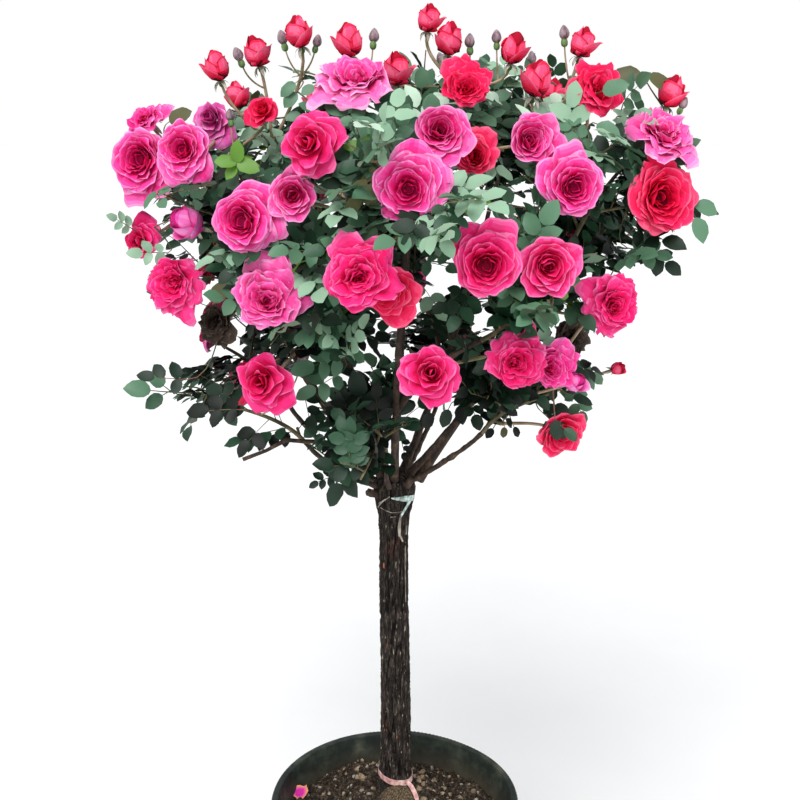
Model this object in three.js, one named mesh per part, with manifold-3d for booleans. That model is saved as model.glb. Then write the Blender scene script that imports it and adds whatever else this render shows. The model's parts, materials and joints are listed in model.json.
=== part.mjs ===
// A standard rose in a nursery pot: one straight grafted trunk that carries a wide heart-shaped
// crown of boughs, leafy twigs and large double flowers. Millimetres, +Z up, +X to the right and
// +Y to the back. The origin is the middle of the pot's flat underside.
//
// The crown is made of masses in four tiers. Each mass keeps to its own space: it has one stem that
// carries on from its bough, twigs set round that stem by the golden angle, leaves along the twigs,
// and the flowers that stand nearest to it, all joined into one solid.

import * as THREE from 'three';
import { mergeVertices } from 'three/addons/utils/BufferGeometryUtils.js';
import Module from 'manifold-3d';

const wasm = await Module();
wasm.setup();

// ---------- driving dimensions ----------

const GAP = 0.3; // clearance between pieces that bear on each other
const UP = new THREE.Vector3(0, 0, 1);
const GOLDEN = THREE.MathUtils.degToRad(137.5);

const POT = {
  height: 284,
  rimRadius: 166,
  footRadius: 124,
  wall: 3,
  lipWidth: 6,
  lipDepth: 16,
  chamfer: 4,
  sides: 28,
  drainHoles: 4,
  drainRadius: 7,
  drainRing: 85,
};

const SOIL = {
  level: 240, // where it meets the pot's wall
  crest: 275, // the flat top of the root ball that the trunk stands on
  seatRadius: 30,
  rings: [0.12, 0.3, 0.5, 0.76], // shares of the way from the seat to the wall
  moundShare: 0.7, // how far out the mound runs
  lump: 3,
};

const TRUNK = {
  x: 0,
  y: 45, // planted behind the middle of the pot
  sides: 12,
  // [height above the soil, radius]: flare, long slow taper, then the swollen graft union
  profile: [
    [0, 25],
    [10, 22.5],
    [35, 20.3],
    [120, 19.4],
    [210, 18.6],
    [300, 18.1],
    [380, 17.8],
    [405, 19.5],
    [425, 23.5],
    [442, 25],
    [455, 22],
    [464, 14],
  ],
  headHeight: 438, // middle of the graft union, above the soil
};

const CROWN = { x: 15, y: TRUNK.y, depthShare: 0.85 }; // a little shallower than it is wide

// Bearings are seen from above, in degrees: 0 is +X, 90 the back, 180 the left and 270 the front.
// Each mass of a tier has its bearing, its reach from the crown's axis, its height and its radius.
// tilt is the angle from upright at which a bough leaves the graft union, and girth its radius there.
const TIERS = [
  { name: 'crest', tilt: 4, girth: 6, masses: [[60, 20, 1148, 108]] },
  {
    name: 'shoulder',
    tilt: 42,
    girth: 7.5,
    masses: [
      [-18, 246, 1108, 132],
      [54, 222, 1112, 124],
      [126, 222, 1112, 124],
      [198, 226, 1108, 122],
      [270, 222, 1112, 124],
    ],
  },
  {
    name: 'waist',
    parent: 'shoulder',
    girth: 5,
    masses: [
      [14, 200, 985, 114],
      [90, 214, 985, 118],
      [164, 212, 980, 114],
      [234, 214, 985, 116],
      [306, 214, 985, 116],
    ],
  },
  {
    name: 'skirt',
    tilt: 74,
    girth: 4.6,
    masses: [
      [160, 222, 862, 112],
      [207, 190, 828, 106],
      [254, 116, 808, 102],
      [322, 165, 844, 104],
      [66, 185, 858, 112],
    ],
  },
];

const BOUGH = {
  sides: 6,
  steps: 5,
  tipRadius: 3.2,
  entry: 0.55, // how far short of its mass's middle a bough ends, as a share of the mass's radius
  forkShare: 0.42, // where a side bough leaves its parent
};

const TWIG = {
  perMass: 6,
  sides: 3,
  radius: 2,
  tipRadius: 1.3,
  pitch: THREE.MathUtils.degToRad(62),
  lift: 0.15, // twigs turn up a little toward the light
  swings: [0, 30, -30, 60, -60], // ways round the stem that a twig tries, in degrees
  length: 0.74, // of the mass's radius
  shortest: 0.3, // a twig that would leave its mass's space is cut back as far as this share
};

const LEAF = {
  length: 80,
  width: 54,
  thickness: 2.4,
  widest: 0.45, // share of the length
  sunk: 0.8, // how far the root goes past the middle of its twig
  shares: [0.3, 0.55, 0.8], // places along a twig, before the leaf at its tip
  turns: [0, 50, -50, 100, -100, 150, -150, 180], // ways round the twig that a leaf tries, in degrees
  spaceShare: 1.2, // leaves may reach this far from the mass's middle, in its radii
};

const STALK = { radius: 2, sides: 3 };

// Open flowers that face the front: [x, y, height, width across, tilt above level in degrees].
const OPEN_FLOWERS = [
  [-45, -90, 1212, 84, 50],
  [-295, 0, 1130, 80, 10],
  [-230, -60, 1150, 66, 15],
  [-290, 45, 1185, 48, 55],
  [-145, -40, 1190, 48, 40],
  [-80, -170, 1162, 72, 20],
  [50, -150, 1178, 64, 30],
  [92, -115, 1158, 54, 10],
  [20, -215, 1134, 79, 5],
  [148, -120, 1168, 61, 15],
  [184, -150, 1126, 80, 8],
  [305, -20, 1160, 83, 40],
  [304, -50, 1094, 88, 8],
  [78, -60, 1222, 58, 35],
  [228, -40, 1213, 62, 35],
  [-302, 20, 1044, 50, -5],
  [-158, -140, 1090, 79, 5],
  [-104, -145, 1116, 56, 15],
  [-256, -30, 991, 75, -5],
  [-132, -150, 1010, 76, 20],
  [-32, -225, 1048, 84, 10],
  [4, -190, 1005, 62, -20],
  [96, -220, 1054, 76, 5],
  [160, -180, 1042, 71, 10],
  [244, -80, 984, 72, 5],
  [-145, -110, 899, 74, 15],
  [38, -190, 930, 70, 15],
  [131, -150, 932, 68, 10],
  [178, -118, 921, 56, 10],
  [198, -60, 819, 58, -30],
];

// Half-open flowers on long stalks above the crown, and two low ones: [x, y, height, width].
const HALF_OPEN_FLOWERS = [
  [-203, 20, 1238, 40],
  [-157, 20, 1254, 40],
  [-107, 0, 1275, 40],
  [-50, -20, 1266, 43],
  [40, 20, 1290, 36],
  [63, 0, 1268, 42],
  [135, 0, 1257, 40],
  [212, 0, 1264, 38],
  [319, 20, 1210, 42],
  [156, -50, 1226, 46],
  [10, -40, 1230, 42],
  [-233, -60, 1071, 48],
  [271, 0, 886, 22],
  [205, -100, 897, 30],
];

const FLOWER_STEP = 10; // a flower that would touch a neighbouring mass is drawn in by this
const FLOWER_STEPS = 8;

const BACK = {
  flowersPerMass: 2,
  across: [62, 82], // the smallest and the largest
  place: 0.88, // share of the mass's radius
  turn: THREE.MathUtils.degToRad(30), // each side of straight out
  tilt: 18,
  halfOpen: 5,
  halfOpenAcross: 40,
  stalkHeight: 1225,
};

// ---------- shared ways of making solids ----------

// A number from 0 to 1 that is always the same for the same n.
function chance(n) {
  const wave = Math.sin(n * 12.9898) * 43758.5453;
  return wave - Math.floor(wave);
}

// A closed three.js geometry as a solid that can be cut and joined.
function solidOf(geometry) {
  const bare = geometry.clone();
  bare.deleteAttribute('normal');
  bare.deleteAttribute('uv');
  const merged = mergeVertices(bare, 1e-3);
  const corners = [];
  for (let i = 0; i < merged.index.count; i += 3) {
    const [a, b, c] = [0, 1, 2].map((k) => merged.index.getX(i + k));
    if (a !== b && b !== c && c !== a) corners.push(a, b, c);
  }
  return new wasm.Manifold(new wasm.Mesh({
    numProp: 3,
    vertProperties: merged.attributes.position.array,
    triVerts: new Uint32Array(corners),
  }));
}

function meshOf(name, solid, material) {
  const { vertProperties, triVerts } = solid.getMesh();
  const geometry = new THREE.BufferGeometry()
    .setAttribute('position', new THREE.BufferAttribute(vertProperties, 3))
    .setIndex(new THREE.BufferAttribute(triVerts, 1));
  geometry.computeVertexNormals();
  const mesh = new THREE.Mesh(geometry, material);
  mesh.name = name;
  return mesh;
}

function largestPart(solid) {
  return solid.decompose().reduce((a, b) => (b.volume() > a.volume() ? b : a));
}

// A turned form about the vertical: points are [radius, height], from the bottom round to the top.
function turned(points, sides) {
  const profile = points.map(([r, z]) => new THREE.Vector2(r, z));
  return new THREE.LatheGeometry(profile, sides).rotateX(Math.PI / 2);
}

// A closed tube along a curve. radiusAt gives its radius at each share of the length.
function limb(curve, radiusAt, sides, steps) {
  const tube = new THREE.CylinderGeometry(1, 1, 1, sides, steps);
  const { normals, binormals } = curve.computeFrenetFrames(steps, false);
  const position = tube.attributes.position;
  const vertex = new THREE.Vector3();
  for (let i = 0; i < position.count; i++) {
    const step = Math.round((position.getY(i) + 0.5) * steps);
    const radius = radiusAt(step / steps);
    curve.getPointAt(step / steps, vertex);
    vertex.addScaledVector(binormals[step], position.getX(i) * radius);
    vertex.addScaledVector(normals[step], position.getZ(i) * radius);
    position.setXYZ(i, vertex.x, vertex.y, vertex.z);
  }
  return solidOf(tube);
}

function boxesMeet(a, b) {
  const [one, two] = [a.boundingBox(), b.boundingBox()];
  return [0, 1, 2].every((k) => one.min[k] - GAP <= two.max[k] && two.min[k] - GAP <= one.max[k]);
}

function standsClear(solid, others) {
  return others.every((other) => !boxesMeet(solid, other) || solid.minGap(other, 2 * GAP) >= GAP);
}

// ---------- pot: a thin moulded tub with a turned-down lip and drain holes ----------

function potInnerRadius(height) {
  const share = height / POT.height;
  const body = POT.rimRadius - POT.lipWidth;
  return POT.footRadius + (body - POT.footRadius) * share - POT.wall;
}

function makePot() {
  const body = POT.rimRadius - POT.lipWidth;
  const lipBottom = POT.height - POT.lipDepth;
  const shell = solidOf(turned([
    [0, 0],
    [POT.footRadius - POT.chamfer, 0],
    [POT.footRadius, POT.chamfer],
    [body - 2, lipBottom],
    [POT.rimRadius - 1, lipBottom + 1],
    [POT.rimRadius, POT.height - 3],
    [POT.rimRadius - 3, POT.height],
    [potInnerRadius(POT.height) + 1, POT.height],
    [potInnerRadius(POT.height), POT.height - 2],
    [potInnerRadius(POT.wall), POT.wall],
    [0, POT.wall],
  ], POT.sides));
  const holes = [];
  for (let i = 0; i < POT.drainHoles; i++) {
    const angle = (i / POT.drainHoles) * 2 * Math.PI;
    const { drainRadius, wall } = POT;
    const drill = new THREE.CylinderGeometry(drainRadius, drainRadius, 4 * wall, 6).rotateX(Math.PI / 2);
    drill.translate(POT.drainRing * Math.cos(angle), POT.drainRing * Math.sin(angle), 0);
    holes.push(solidOf(drill));
  }
  return shell.subtract(wasm.Manifold.union(holes));
}

// ---------- soil: fills the pot and rises to the flat top of the root ball ----------

function makeSoil() {
  const floor = POT.wall + GAP;
  const wallClearance = GAP + 0.4; // a flat between two corners of the pot lies a little nearer
  const wallRadius = potInnerRadius(SOIL.level) - wallClearance;
  const outline = [
    [0, floor],
    [potInnerRadius(floor) - wallClearance, floor],
    [wallRadius, SOIL.level],
  ];
  for (const share of [...SOIL.rings].reverse()) {
    const slope = Math.min(1, share / SOIL.moundShare);
    const fall = Math.cos(slope * Math.PI) * 0.5 + 0.5; // 1 at the seat and 0 at the mound's foot
    outline.push([
      SOIL.seatRadius + (wallRadius - SOIL.seatRadius) * share,
      SOIL.level + (SOIL.crest - SOIL.level) * fall,
    ]);
  }
  outline.push([SOIL.seatRadius, SOIL.crest], [0, SOIL.crest]);
  const heap = turned(outline, POT.sides);
  const position = heap.attributes.position;
  const firstRing = 3;
  for (let i = 0; i < position.count; i++) {
    const place = i % outline.length;
    if (place < firstRing) continue;
    const spoke = Math.floor(i / outline.length) % POT.sides;
    const radius = outline[place][0];
    const towardSeat = 1 - Math.max(0, radius - SOIL.seatRadius) / (wallRadius - SOIL.seatRadius);
    const isLoose = place < outline.length - 2;
    const lump = isLoose ? (chance(spoke * 17 + place) - 0.5) * 2 * SOIL.lump : 0;
    position.setXYZ(
      i,
      position.getX(i) + TRUNK.x * towardSeat,
      position.getY(i) + TRUNK.y * towardSeat,
      position.getZ(i) + lump,
    );
  }
  return solidOf(heap);
}

// ---------- trunk: flared foot, slow taper and the swollen graft union ----------

function makeTrunk(clearance = 0) {
  const foot = SOIL.crest + GAP;
  const outline = TRUNK.profile.map(([height, radius]) => [radius + clearance, foot + height]);
  const top = foot + TRUNK.profile.at(-1)[0] + clearance;
  const form = turned([[0, foot], ...outline, [0, top]], TRUNK.sides);
  return solidOf(form.translate(TRUNK.x, TRUNK.y, 0));
}

// ---------- boughs and the spaces of the masses that they carry ----------

function level(bearing) {
  const angle = THREE.MathUtils.degToRad(bearing);
  return new THREE.Vector3(Math.cos(angle), Math.sin(angle), 0);
}

const masses = [];
const headMiddle = new THREE.Vector3(TRUNK.x, TRUNK.y, SOIL.crest + GAP + TRUNK.headHeight);

// Lays out every mass with the curve of the bough that carries it. A mass's number seeds its twigs.
function layOutCrown() {
  for (const tier of TIERS) {
    tier.masses.forEach(([bearing, reach, height, radius], i) => {
      const outward = level(bearing);
      const middle = new THREE.Vector3(
        CROWN.x + reach * outward.x,
        CROWN.y + reach * CROWN.depthShare * outward.y,
        height,
      );
      const parent = masses.find((m) => m.name === `${tier.parent}_${i + 1}`);
      const root = parent ? parent.bough.getPointAt(BOUGH.forkShare) : headMiddle;
      const heading = middle.clone().sub(root).normalize();
      const tip = middle.clone().addScaledVector(heading, -BOUGH.entry * radius);
      const lean = Math.tan(THREE.MathUtils.degToRad(tier.tilt ?? 0));
      const leaving = parent
        ? parent.bough.getTangentAt(BOUGH.forkShare).add(heading).normalize()
        : outward.clone().multiplyScalar(lean).add(UP).normalize();
      const bend = root.clone().addScaledVector(leaving, root.distanceTo(tip) * 0.55);
      masses.push({
        name: `${tier.name}_${i + 1}`,
        number: masses.length + 1,
        middle,
        reach,
        radius,
        girth: tier.girth,
        outward,
        bearing,
        bough: new THREE.QuadraticBezierCurve3(root, bend, tip),
      });
    });
  }
}
layOutCrown();

function makeBough(mass, clearance = 0) {
  const taper = (share) => mass.girth + (BOUGH.tipRadius - mass.girth) * share ** 0.8 + clearance;
  return limb(mass.bough, taper, BOUGH.sides, BOUGH.steps);
}

// ---------- wood of a mass: its stem and twigs ----------

// True if a point is nearer to this mass's middle than to any other, and within its reach.
function inOwnSpace(mass, point) {
  if (point.distanceTo(mass.middle) > mass.radius * LEAF.spaceShare) return false;
  return masses.every((other) => {
    if (other === mass) return true;
    const between = other.middle.distanceTo(mass.middle);
    const lead = point.distanceToSquared(other.middle) - point.distanceToSquared(mass.middle);
    return lead / (2 * between) > GAP;
  });
}

function stemOf(mass) {
  const heading = mass.bough.getTangentAt(1);
  const start = mass.bough.getPointAt(1).addScaledVector(heading, 1.5 * GAP);
  const along = mass.middle.clone().sub(start);
  const bend = start.clone().addScaledVector(heading, along.length() * 0.6);
  const end = mass.middle.clone().addScaledVector(along, 0.55);
  return new THREE.QuadraticBezierCurve3(start, bend, end);
}

// The ways that the k-th twig of a mass could run, best first: turned round the stem by the golden
// angle and then a little to either side, and ever shorter until its tip is in the mass's own space.
function twigWays(mass, k) {
  const share = 0.08 + (0.9 * k) / (TWIG.perMass - 1);
  const root = mass.stem.getPointAt(share);
  const forward = mass.stem.getTangentAt(share);
  const side = forward.clone().cross(UP).normalize();
  const over = side.clone().cross(forward);
  const longest = mass.radius * TWIG.length * (0.8 + 0.4 * chance(mass.number * 31 + k));
  const ways = [];
  for (const swing of TWIG.swings) {
    const turn = k * GOLDEN + mass.number + THREE.MathUtils.degToRad(swing);
    const direction = forward.clone().multiplyScalar(Math.cos(TWIG.pitch))
      .addScaledVector(side, Math.cos(turn) * Math.sin(TWIG.pitch))
      .addScaledVector(over, Math.sin(turn) * Math.sin(TWIG.pitch))
      .addScaledVector(UP, TWIG.lift)
      .normalize();
    for (let length = longest; length > mass.radius * TWIG.shortest; length *= 0.85) {
      const tip = root.clone().addScaledVector(direction, length);
      if (!inOwnSpace(mass, tip)) continue;
      ways.push(new THREE.LineCurve3(root, tip));
      break;
    }
  }
  return ways;
}

// ---------- leaves: thin blades of eight faces ----------

function leafAt(root, direction, facing, length) {
  const blade = new THREE.OctahedronGeometry(1);
  const position = blade.attributes.position;
  for (let i = 0; i < position.count; i++) {
    const along = position.getX(i);
    const x = along > 0.5 ? length : along < -0.5 ? -LEAF.sunk : length * LEAF.widest;
    const y = (position.getY(i) * LEAF.width * length) / (2 * LEAF.length);
    const z = (position.getZ(i) * LEAF.thickness) / 2;
    position.setXYZ(i, x, y, z);
  }
  const across = facing.clone().cross(direction).normalize();
  const normal = direction.clone().cross(across);
  const frame = new THREE.Matrix4().makeBasis(direction, across, normal).setPosition(root);
  return blade.applyMatrix4(frame);
}

function cornersOf(blade) {
  const position = blade.attributes.position;
  const cornerAt = (_, i) => new THREE.Vector3().fromBufferAttribute(position, i);
  return Array.from({ length: position.count }, cornerAt);
}

// Every place on a twig that may carry a leaf, each with the blades that it could carry, best first.
function leafPlaces(mass) {
  const places = [];
  mass.twigs.forEach((twig, k) => {
    [...LEAF.shares, 1].forEach((share, j) => {
      const root = twig.getPointAt(share);
      const forward = twig.getTangentAt(share);
      const side = forward.clone().cross(UP).normalize().multiplyScalar((j + k) % 2 === 0 ? 1 : -1);
      const draw = chance(mass.number * 131 + k * 17 + j);
      const length = LEAF.length * (0.85 + 0.3 * draw);
      const facing = root.clone().sub(headMiddle).normalize().multiplyScalar(0.7)
        .addScaledVector(UP, 0.6)
        .addScaledVector(side, draw - 0.5)
        .normalize();
      const spread = share === 1 ? 0.15 : 0.85;
      const blades = LEAF.turns.map((turn) => {
        const direction = side.clone().applyAxisAngle(forward, THREE.MathUtils.degToRad(turn))
          .multiplyScalar(spread)
          .addScaledVector(forward, 0.55)
          .addScaledVector(UP, 0.3 * (draw - 0.5))
          .normalize();
        return leafAt(root, direction, facing, length);
      });
      places.push({ twig: k, blades });
    });
  });
  return places;
}

// ---------- flowers: turned forms whose sides are drawn in and out as petals ----------

const OPEN_FORM = {
  sides: 6,
  stalkEnd: -0.3,
  outline: [[0, -0.42], [1, 0], [0.6, 0.3], [0, 0.36]],
};
const HALF_OPEN_FORM = {
  sides: 5,
  stalkEnd: -0.9,
  outline: [[0, -1.05], [0.95, -0.1], [0.55, 0.75], [0, 0.75]],
};

function flowerSolid(flower) {
  const half = flower.across / 2;
  const { outline, sides } = flower.form;
  const form = turned(outline.map(([r, z]) => [r * half, z * half]), sides);
  const position = form.attributes.position;
  for (let i = 0; i < position.count; i++) {
    const spoke = Math.floor(i / outline.length) % sides;
    const draw = 0.88 + 0.16 * chance(flower.number * 7 + spoke);
    position.setXYZ(i, position.getX(i) * draw, position.getY(i) * draw, position.getZ(i));
  }
  const turn = new THREE.Quaternion().setFromUnitVectors(UP, flower.facing);
  return solidOf(form.applyQuaternion(turn).translate(...flower.place));
}

// A flower faces out of the crown, and those in front are drawn round to the light from the front.
function facingFrom(place, tilt) {
  const out = new THREE.Vector3(place.x - CROWN.x, place.y - CROWN.y, 0).normalize();
  if (place.y < CROWN.y) out.y -= 0.9;
  out.normalize();
  const angle = THREE.MathUtils.degToRad(tilt);
  return out.multiplyScalar(Math.cos(angle)).addScaledVector(UP, Math.sin(angle));
}

function listFlowers() {
  const flowers = [];
  const add = (place, across, facing, form) => {
    flowers.push({ place, across, facing, form, number: flowers.length + 1 });
  };
  for (const [x, y, height, across, tilt] of OPEN_FLOWERS) {
    const place = new THREE.Vector3(x, y, height);
    add(place, across, facingFrom(place, tilt), OPEN_FORM);
  }
  const stalked = HALF_OPEN_FLOWERS.map(([x, y, height, across]) => (
    [new THREE.Vector3(x, y, height), across]
  ));
  for (let k = 0; k < BACK.halfOpen; k++) {
    const height = BACK.stalkHeight + 40 * chance(k + 50);
    const place = new THREE.Vector3(-200 + 100 * k, 150 + 40 * chance(k + 5), height);
    stalked.push([place, BACK.halfOpenAcross]);
  }
  for (const [place, across] of stalked) {
    const isOnTop = place.z > TIERS[0].masses[0][2];
    add(place, across, facingFrom(place, isOnTop ? 72 : 25), HALF_OPEN_FORM);
  }
  const backMasses = masses.filter((m) => m.bearing > 0 && m.bearing < 170 && m.reach > 100);
  for (const mass of backMasses) {
    for (let k = 0; k < BACK.flowersPerMass; k++) {
      const draw = chance(mass.number * 3 + k);
      const swing = mass.outward.clone().applyAxisAngle(UP, (k === 0 ? 1 : -1) * BACK.turn);
      const place = mass.middle.clone()
        .addScaledVector(swing, mass.radius * BACK.place)
        .addScaledVector(UP, mass.radius * (k === 0 ? 0.35 : -0.3) * (0.6 + draw));
      const [least, most] = BACK.across;
      add(place, least + (most - least) * draw, facingFrom(place, BACK.tilt), OPEN_FORM);
    }
  }
  return flowers;
}

// The stalk runs from the nearest point of the mass's stem or twigs up into the back of the flower.
function stalkOf(flower) {
  const behind = (flower.form.stalkEnd * flower.across) / 2;
  const end = flower.place.clone().addScaledVector(flower.facing, behind);
  const { stem, twigs } = flower.mass;
  const starts = [stem, ...twigs].flatMap((curve) => curve.getSpacedPoints(8).slice(1, 8));
  const cost = (p) => p.distanceTo(end) + 1.5 * Math.max(0, p.z + 20 - end.z);
  const start = starts.reduce((a, b) => (cost(b) < cost(a) ? b : a));
  const inside = end.clone().addScaledVector(flower.facing, 4);
  return new THREE.LineCurve3(start, inside);
}

function makeFlower(flower) {
  return limb(stalkOf(flower), () => STALK.radius, STALK.sides, 1).add(flowerSolid(flower));
}

// ---------- assembly ----------

const plastic = new THREE.MeshStandardMaterial({ color: 0x2b3430, roughness: 0.6, metalness: 0 });
const earth = new THREE.MeshStandardMaterial({ color: 0x4b4038, roughness: 0.95, metalness: 0 });
const bark = new THREE.MeshStandardMaterial({ color: 0x4a3c33, roughness: 0.9, metalness: 0 });
const leafage = new THREE.MeshStandardMaterial({ color: 0x3f6149, roughness: 0.7, metalness: 0 });

const rose = new THREE.Group();
rose.add(meshOf('pot', makePot(), plastic));
rose.add(meshOf('soil', makeSoil(), earth));

const trunk = makeTrunk();
rose.add(meshOf('trunk', trunk, bark));

const limbs = [trunk];
const spares = [makeTrunk(GAP + 0.1)]; // the same limbs, a clearance larger, for cutting seats
for (const mass of masses) {
  const bough = largestPart(makeBough(mass).subtract(wasm.Manifold.union(spares)));
  limbs.push(bough);
  spares.push(makeBough(mass, GAP + 0.1));
  rose.add(meshOf(`${mass.name}_bough`, bough, bark));
}

// Stems come first, then twigs, flowers and last leaves, so that each keeps clear of those before.
function othersOf(mass) {
  return [...limbs, ...masses.filter((other) => other !== mass).map((other) => other.solid)];
}

for (const mass of masses) {
  const taper = (share) => BOUGH.tipRadius + (TWIG.radius - BOUGH.tipRadius) * share;
  mass.stem = stemOf(mass);
  mass.solid = limb(mass.stem, taper, 4, 2);
  mass.core = [mass.solid];
}

for (const mass of masses) {
  const taper = (share) => TWIG.radius + (TWIG.tipRadius - TWIG.radius) * share;
  const others = othersOf(mass);
  mass.twigs = [];
  mass.twigSolids = [];
  for (let k = 0; k < TWIG.perMass; k++) {
    for (const way of twigWays(mass, k)) {
      const solid = limb(way, taper, TWIG.sides, 1);
      if (!standsClear(solid, others)) continue;
      mass.twigs.push(way);
      mass.twigSolids.push(solid);
      break;
    }
  }
  mass.solid = wasm.Manifold.union([mass.solid, ...mass.twigSolids]);
}

const flowers = listFlowers();
for (const flower of flowers) {
  const apart = (mass) => mass.middle.distanceTo(flower.place);
  flower.mass = masses.reduce((a, b) => (apart(b) < apart(a) ? b : a));
  const others = othersOf(flower.mass);
  for (let step = 0; step < FLOWER_STEPS; step++) {
    const solid = makeFlower(flower);
    if (standsClear(solid, others)) {
      flower.mass.core.push(solid);
      flower.mass.solid = flower.mass.solid.add(solid);
      break;
    }
    flower.place.addScaledVector(flower.facing, -FLOWER_STEP);
  }
}

for (const mass of masses) {
  const leaves = [];
  for (const { twig, blades } of leafPlaces(mass)) {
    const otherTwigs = mass.twigSolids.filter((_, k) => k !== twig);
    const others = [...othersOf(mass), ...mass.core, ...otherTwigs, ...leaves];
    for (const blade of blades) {
      if (!cornersOf(blade).every((corner) => inOwnSpace(mass, corner))) continue;
      const leaf = solidOf(blade);
      if (!standsClear(leaf, others)) continue;
      leaves.push(leaf);
      break;
    }
  }
  const foliage = largestPart(wasm.Manifold.union([mass.solid, ...leaves]));
  rose.add(meshOf(`${mass.name}_foliage`, foliage, leafage));
}

export default rose;
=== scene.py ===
# A standard rose in its nursery pot: the pot and its soil, the grafted trunk, the boughs that fan
# out of the graft union, and the crown of twigs, leaves and roses that they carry.
import json
from math import cos, exp, pi, radians, sin, tan

import bmesh
import bpy
import numpy as np
from mathutils import Matrix, Quaternion, Vector, noise
from mathutils.bvhtree import BVHTree

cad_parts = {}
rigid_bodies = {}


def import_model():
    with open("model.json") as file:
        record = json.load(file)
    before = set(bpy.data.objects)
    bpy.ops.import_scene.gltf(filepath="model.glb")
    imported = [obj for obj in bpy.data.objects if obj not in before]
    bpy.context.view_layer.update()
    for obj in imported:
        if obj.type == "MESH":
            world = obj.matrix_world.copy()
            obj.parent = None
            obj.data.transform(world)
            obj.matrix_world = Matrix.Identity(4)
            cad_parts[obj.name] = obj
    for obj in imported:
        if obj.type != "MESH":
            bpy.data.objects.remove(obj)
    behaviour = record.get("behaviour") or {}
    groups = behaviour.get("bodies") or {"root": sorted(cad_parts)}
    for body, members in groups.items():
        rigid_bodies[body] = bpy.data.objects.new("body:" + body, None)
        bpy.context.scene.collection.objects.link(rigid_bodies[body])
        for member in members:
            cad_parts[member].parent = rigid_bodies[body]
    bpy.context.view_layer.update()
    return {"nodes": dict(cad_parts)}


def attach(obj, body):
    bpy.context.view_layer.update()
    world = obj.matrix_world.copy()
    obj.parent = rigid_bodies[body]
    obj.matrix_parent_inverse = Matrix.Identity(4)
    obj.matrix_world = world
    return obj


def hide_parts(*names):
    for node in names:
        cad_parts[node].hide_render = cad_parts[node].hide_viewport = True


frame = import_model()

# ---- Camera, floor and light ----
# A pale studio floor under a plain white sky, with one wide soft light from the upper front.

FLOOR_HALF = 14.0  # metres from the middle to an edge
LOOKS_DOWN = 16.52  # degrees

scene = bpy.context.scene
scene.view_settings.view_transform = "Standard"


def new_object(name, data):
    """An object that stands in the scene."""
    thing = bpy.data.objects.new(name, data)
    scene.collection.objects.link(thing)
    return thing


camera = new_object("camera", bpy.data.cameras.new("camera"))
camera.data.sensor_width, camera.data.lens = 36, 54
camera.location = (0.007, -1.4017, 1.2615)
camera.rotation_euler = (radians(90 - LOOKS_DOWN), 0, 0)
scene.camera = camera


def paint(red, green, blue):
    """A colour as it is seen, 0 to 255, in the values that a shader takes."""
    seen = (c / 255 for c in (red, green, blue))
    return tuple(c / 12.92 if c < 0.04 else ((c + 0.055) / 1.055) ** 2.4 for c in seen) + (1,)


def new_finish(name, roughness, specular=0.5):
    """A material, its nodes and links, and its shader, with the plain values set."""
    finish = bpy.data.materials.new(name)
    finish.use_nodes = True
    nodes, links = finish.node_tree.nodes, finish.node_tree.links
    shader = nodes["Principled BSDF"]
    shader.inputs["Roughness"].default_value = roughness
    shader.inputs["Specular IOR Level"].default_value = specular
    return finish, nodes, links, shader


def speckle(nodes, links, scale, detail=4.0, stretch=(1, 1, 1), roughness=0.55):
    """Noise on the piece's own coordinates, finer along the axes that are stretched more."""
    place = nodes.new("ShaderNodeTexCoord")
    mapping = nodes.new("ShaderNodeMapping")
    mapping.inputs["Scale"].default_value = stretch
    grain = nodes.new("ShaderNodeTexNoise")
    grain.inputs["Scale"].default_value = scale
    grain.inputs["Detail"].default_value = detail
    grain.inputs["Roughness"].default_value = roughness
    links.new(place.outputs["Object"], mapping.inputs["Vector"])
    links.new(mapping.outputs["Vector"], grain.inputs["Vector"])
    return grain.outputs["Fac"]


def ramp(nodes, links, factor, stops):
    """A factor spread over colour stops: (place, colour)."""
    spread = nodes.new("ShaderNodeValToRGB")
    elements = spread.color_ramp.elements
    while len(elements) < len(stops):
        elements.new(0.5)
    for element, (place, colour) in zip(elements, stops):
        element.position = place
        element.color = colour
    links.new(factor, spread.inputs["Fac"])
    return spread.outputs["Color"]


def roughen(nodes, links, shader, height, depth, strength=0.6):
    """Bump of a real depth, in metres, from a height factor."""
    bump = nodes.new("ShaderNodeBump")
    bump.inputs["Strength"].default_value = strength
    bump.inputs["Distance"].default_value = depth
    links.new(height, bump.inputs["Height"])
    links.new(bump.outputs["Normal"], shader.inputs["Normal"])


floor_mesh = bpy.data.meshes.new("floor")
floor_corners = [(x * FLOOR_HALF, y * FLOOR_HALF, 0) for x, y in ((-1, -1), (1, -1), (1, 1), (-1, 1))]
floor_mesh.from_pydata(floor_corners, [], [(0, 1, 2, 3)])
floor_finish, floor_nodes, floor_links, floor_shader = new_finish("pale_floor", 0.9, 0.1)
floor_tone = ramp(floor_nodes, floor_links, speckle(floor_nodes, floor_links, 3.0), [
    (0.3, paint(236, 236, 235)),
    (0.7, paint(240, 240, 239)),
])
floor_links.new(floor_tone, floor_shader.inputs["Base Color"])
floor_mesh.materials.append(floor_finish)
floor = new_object("floor", floor_mesh)

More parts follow.
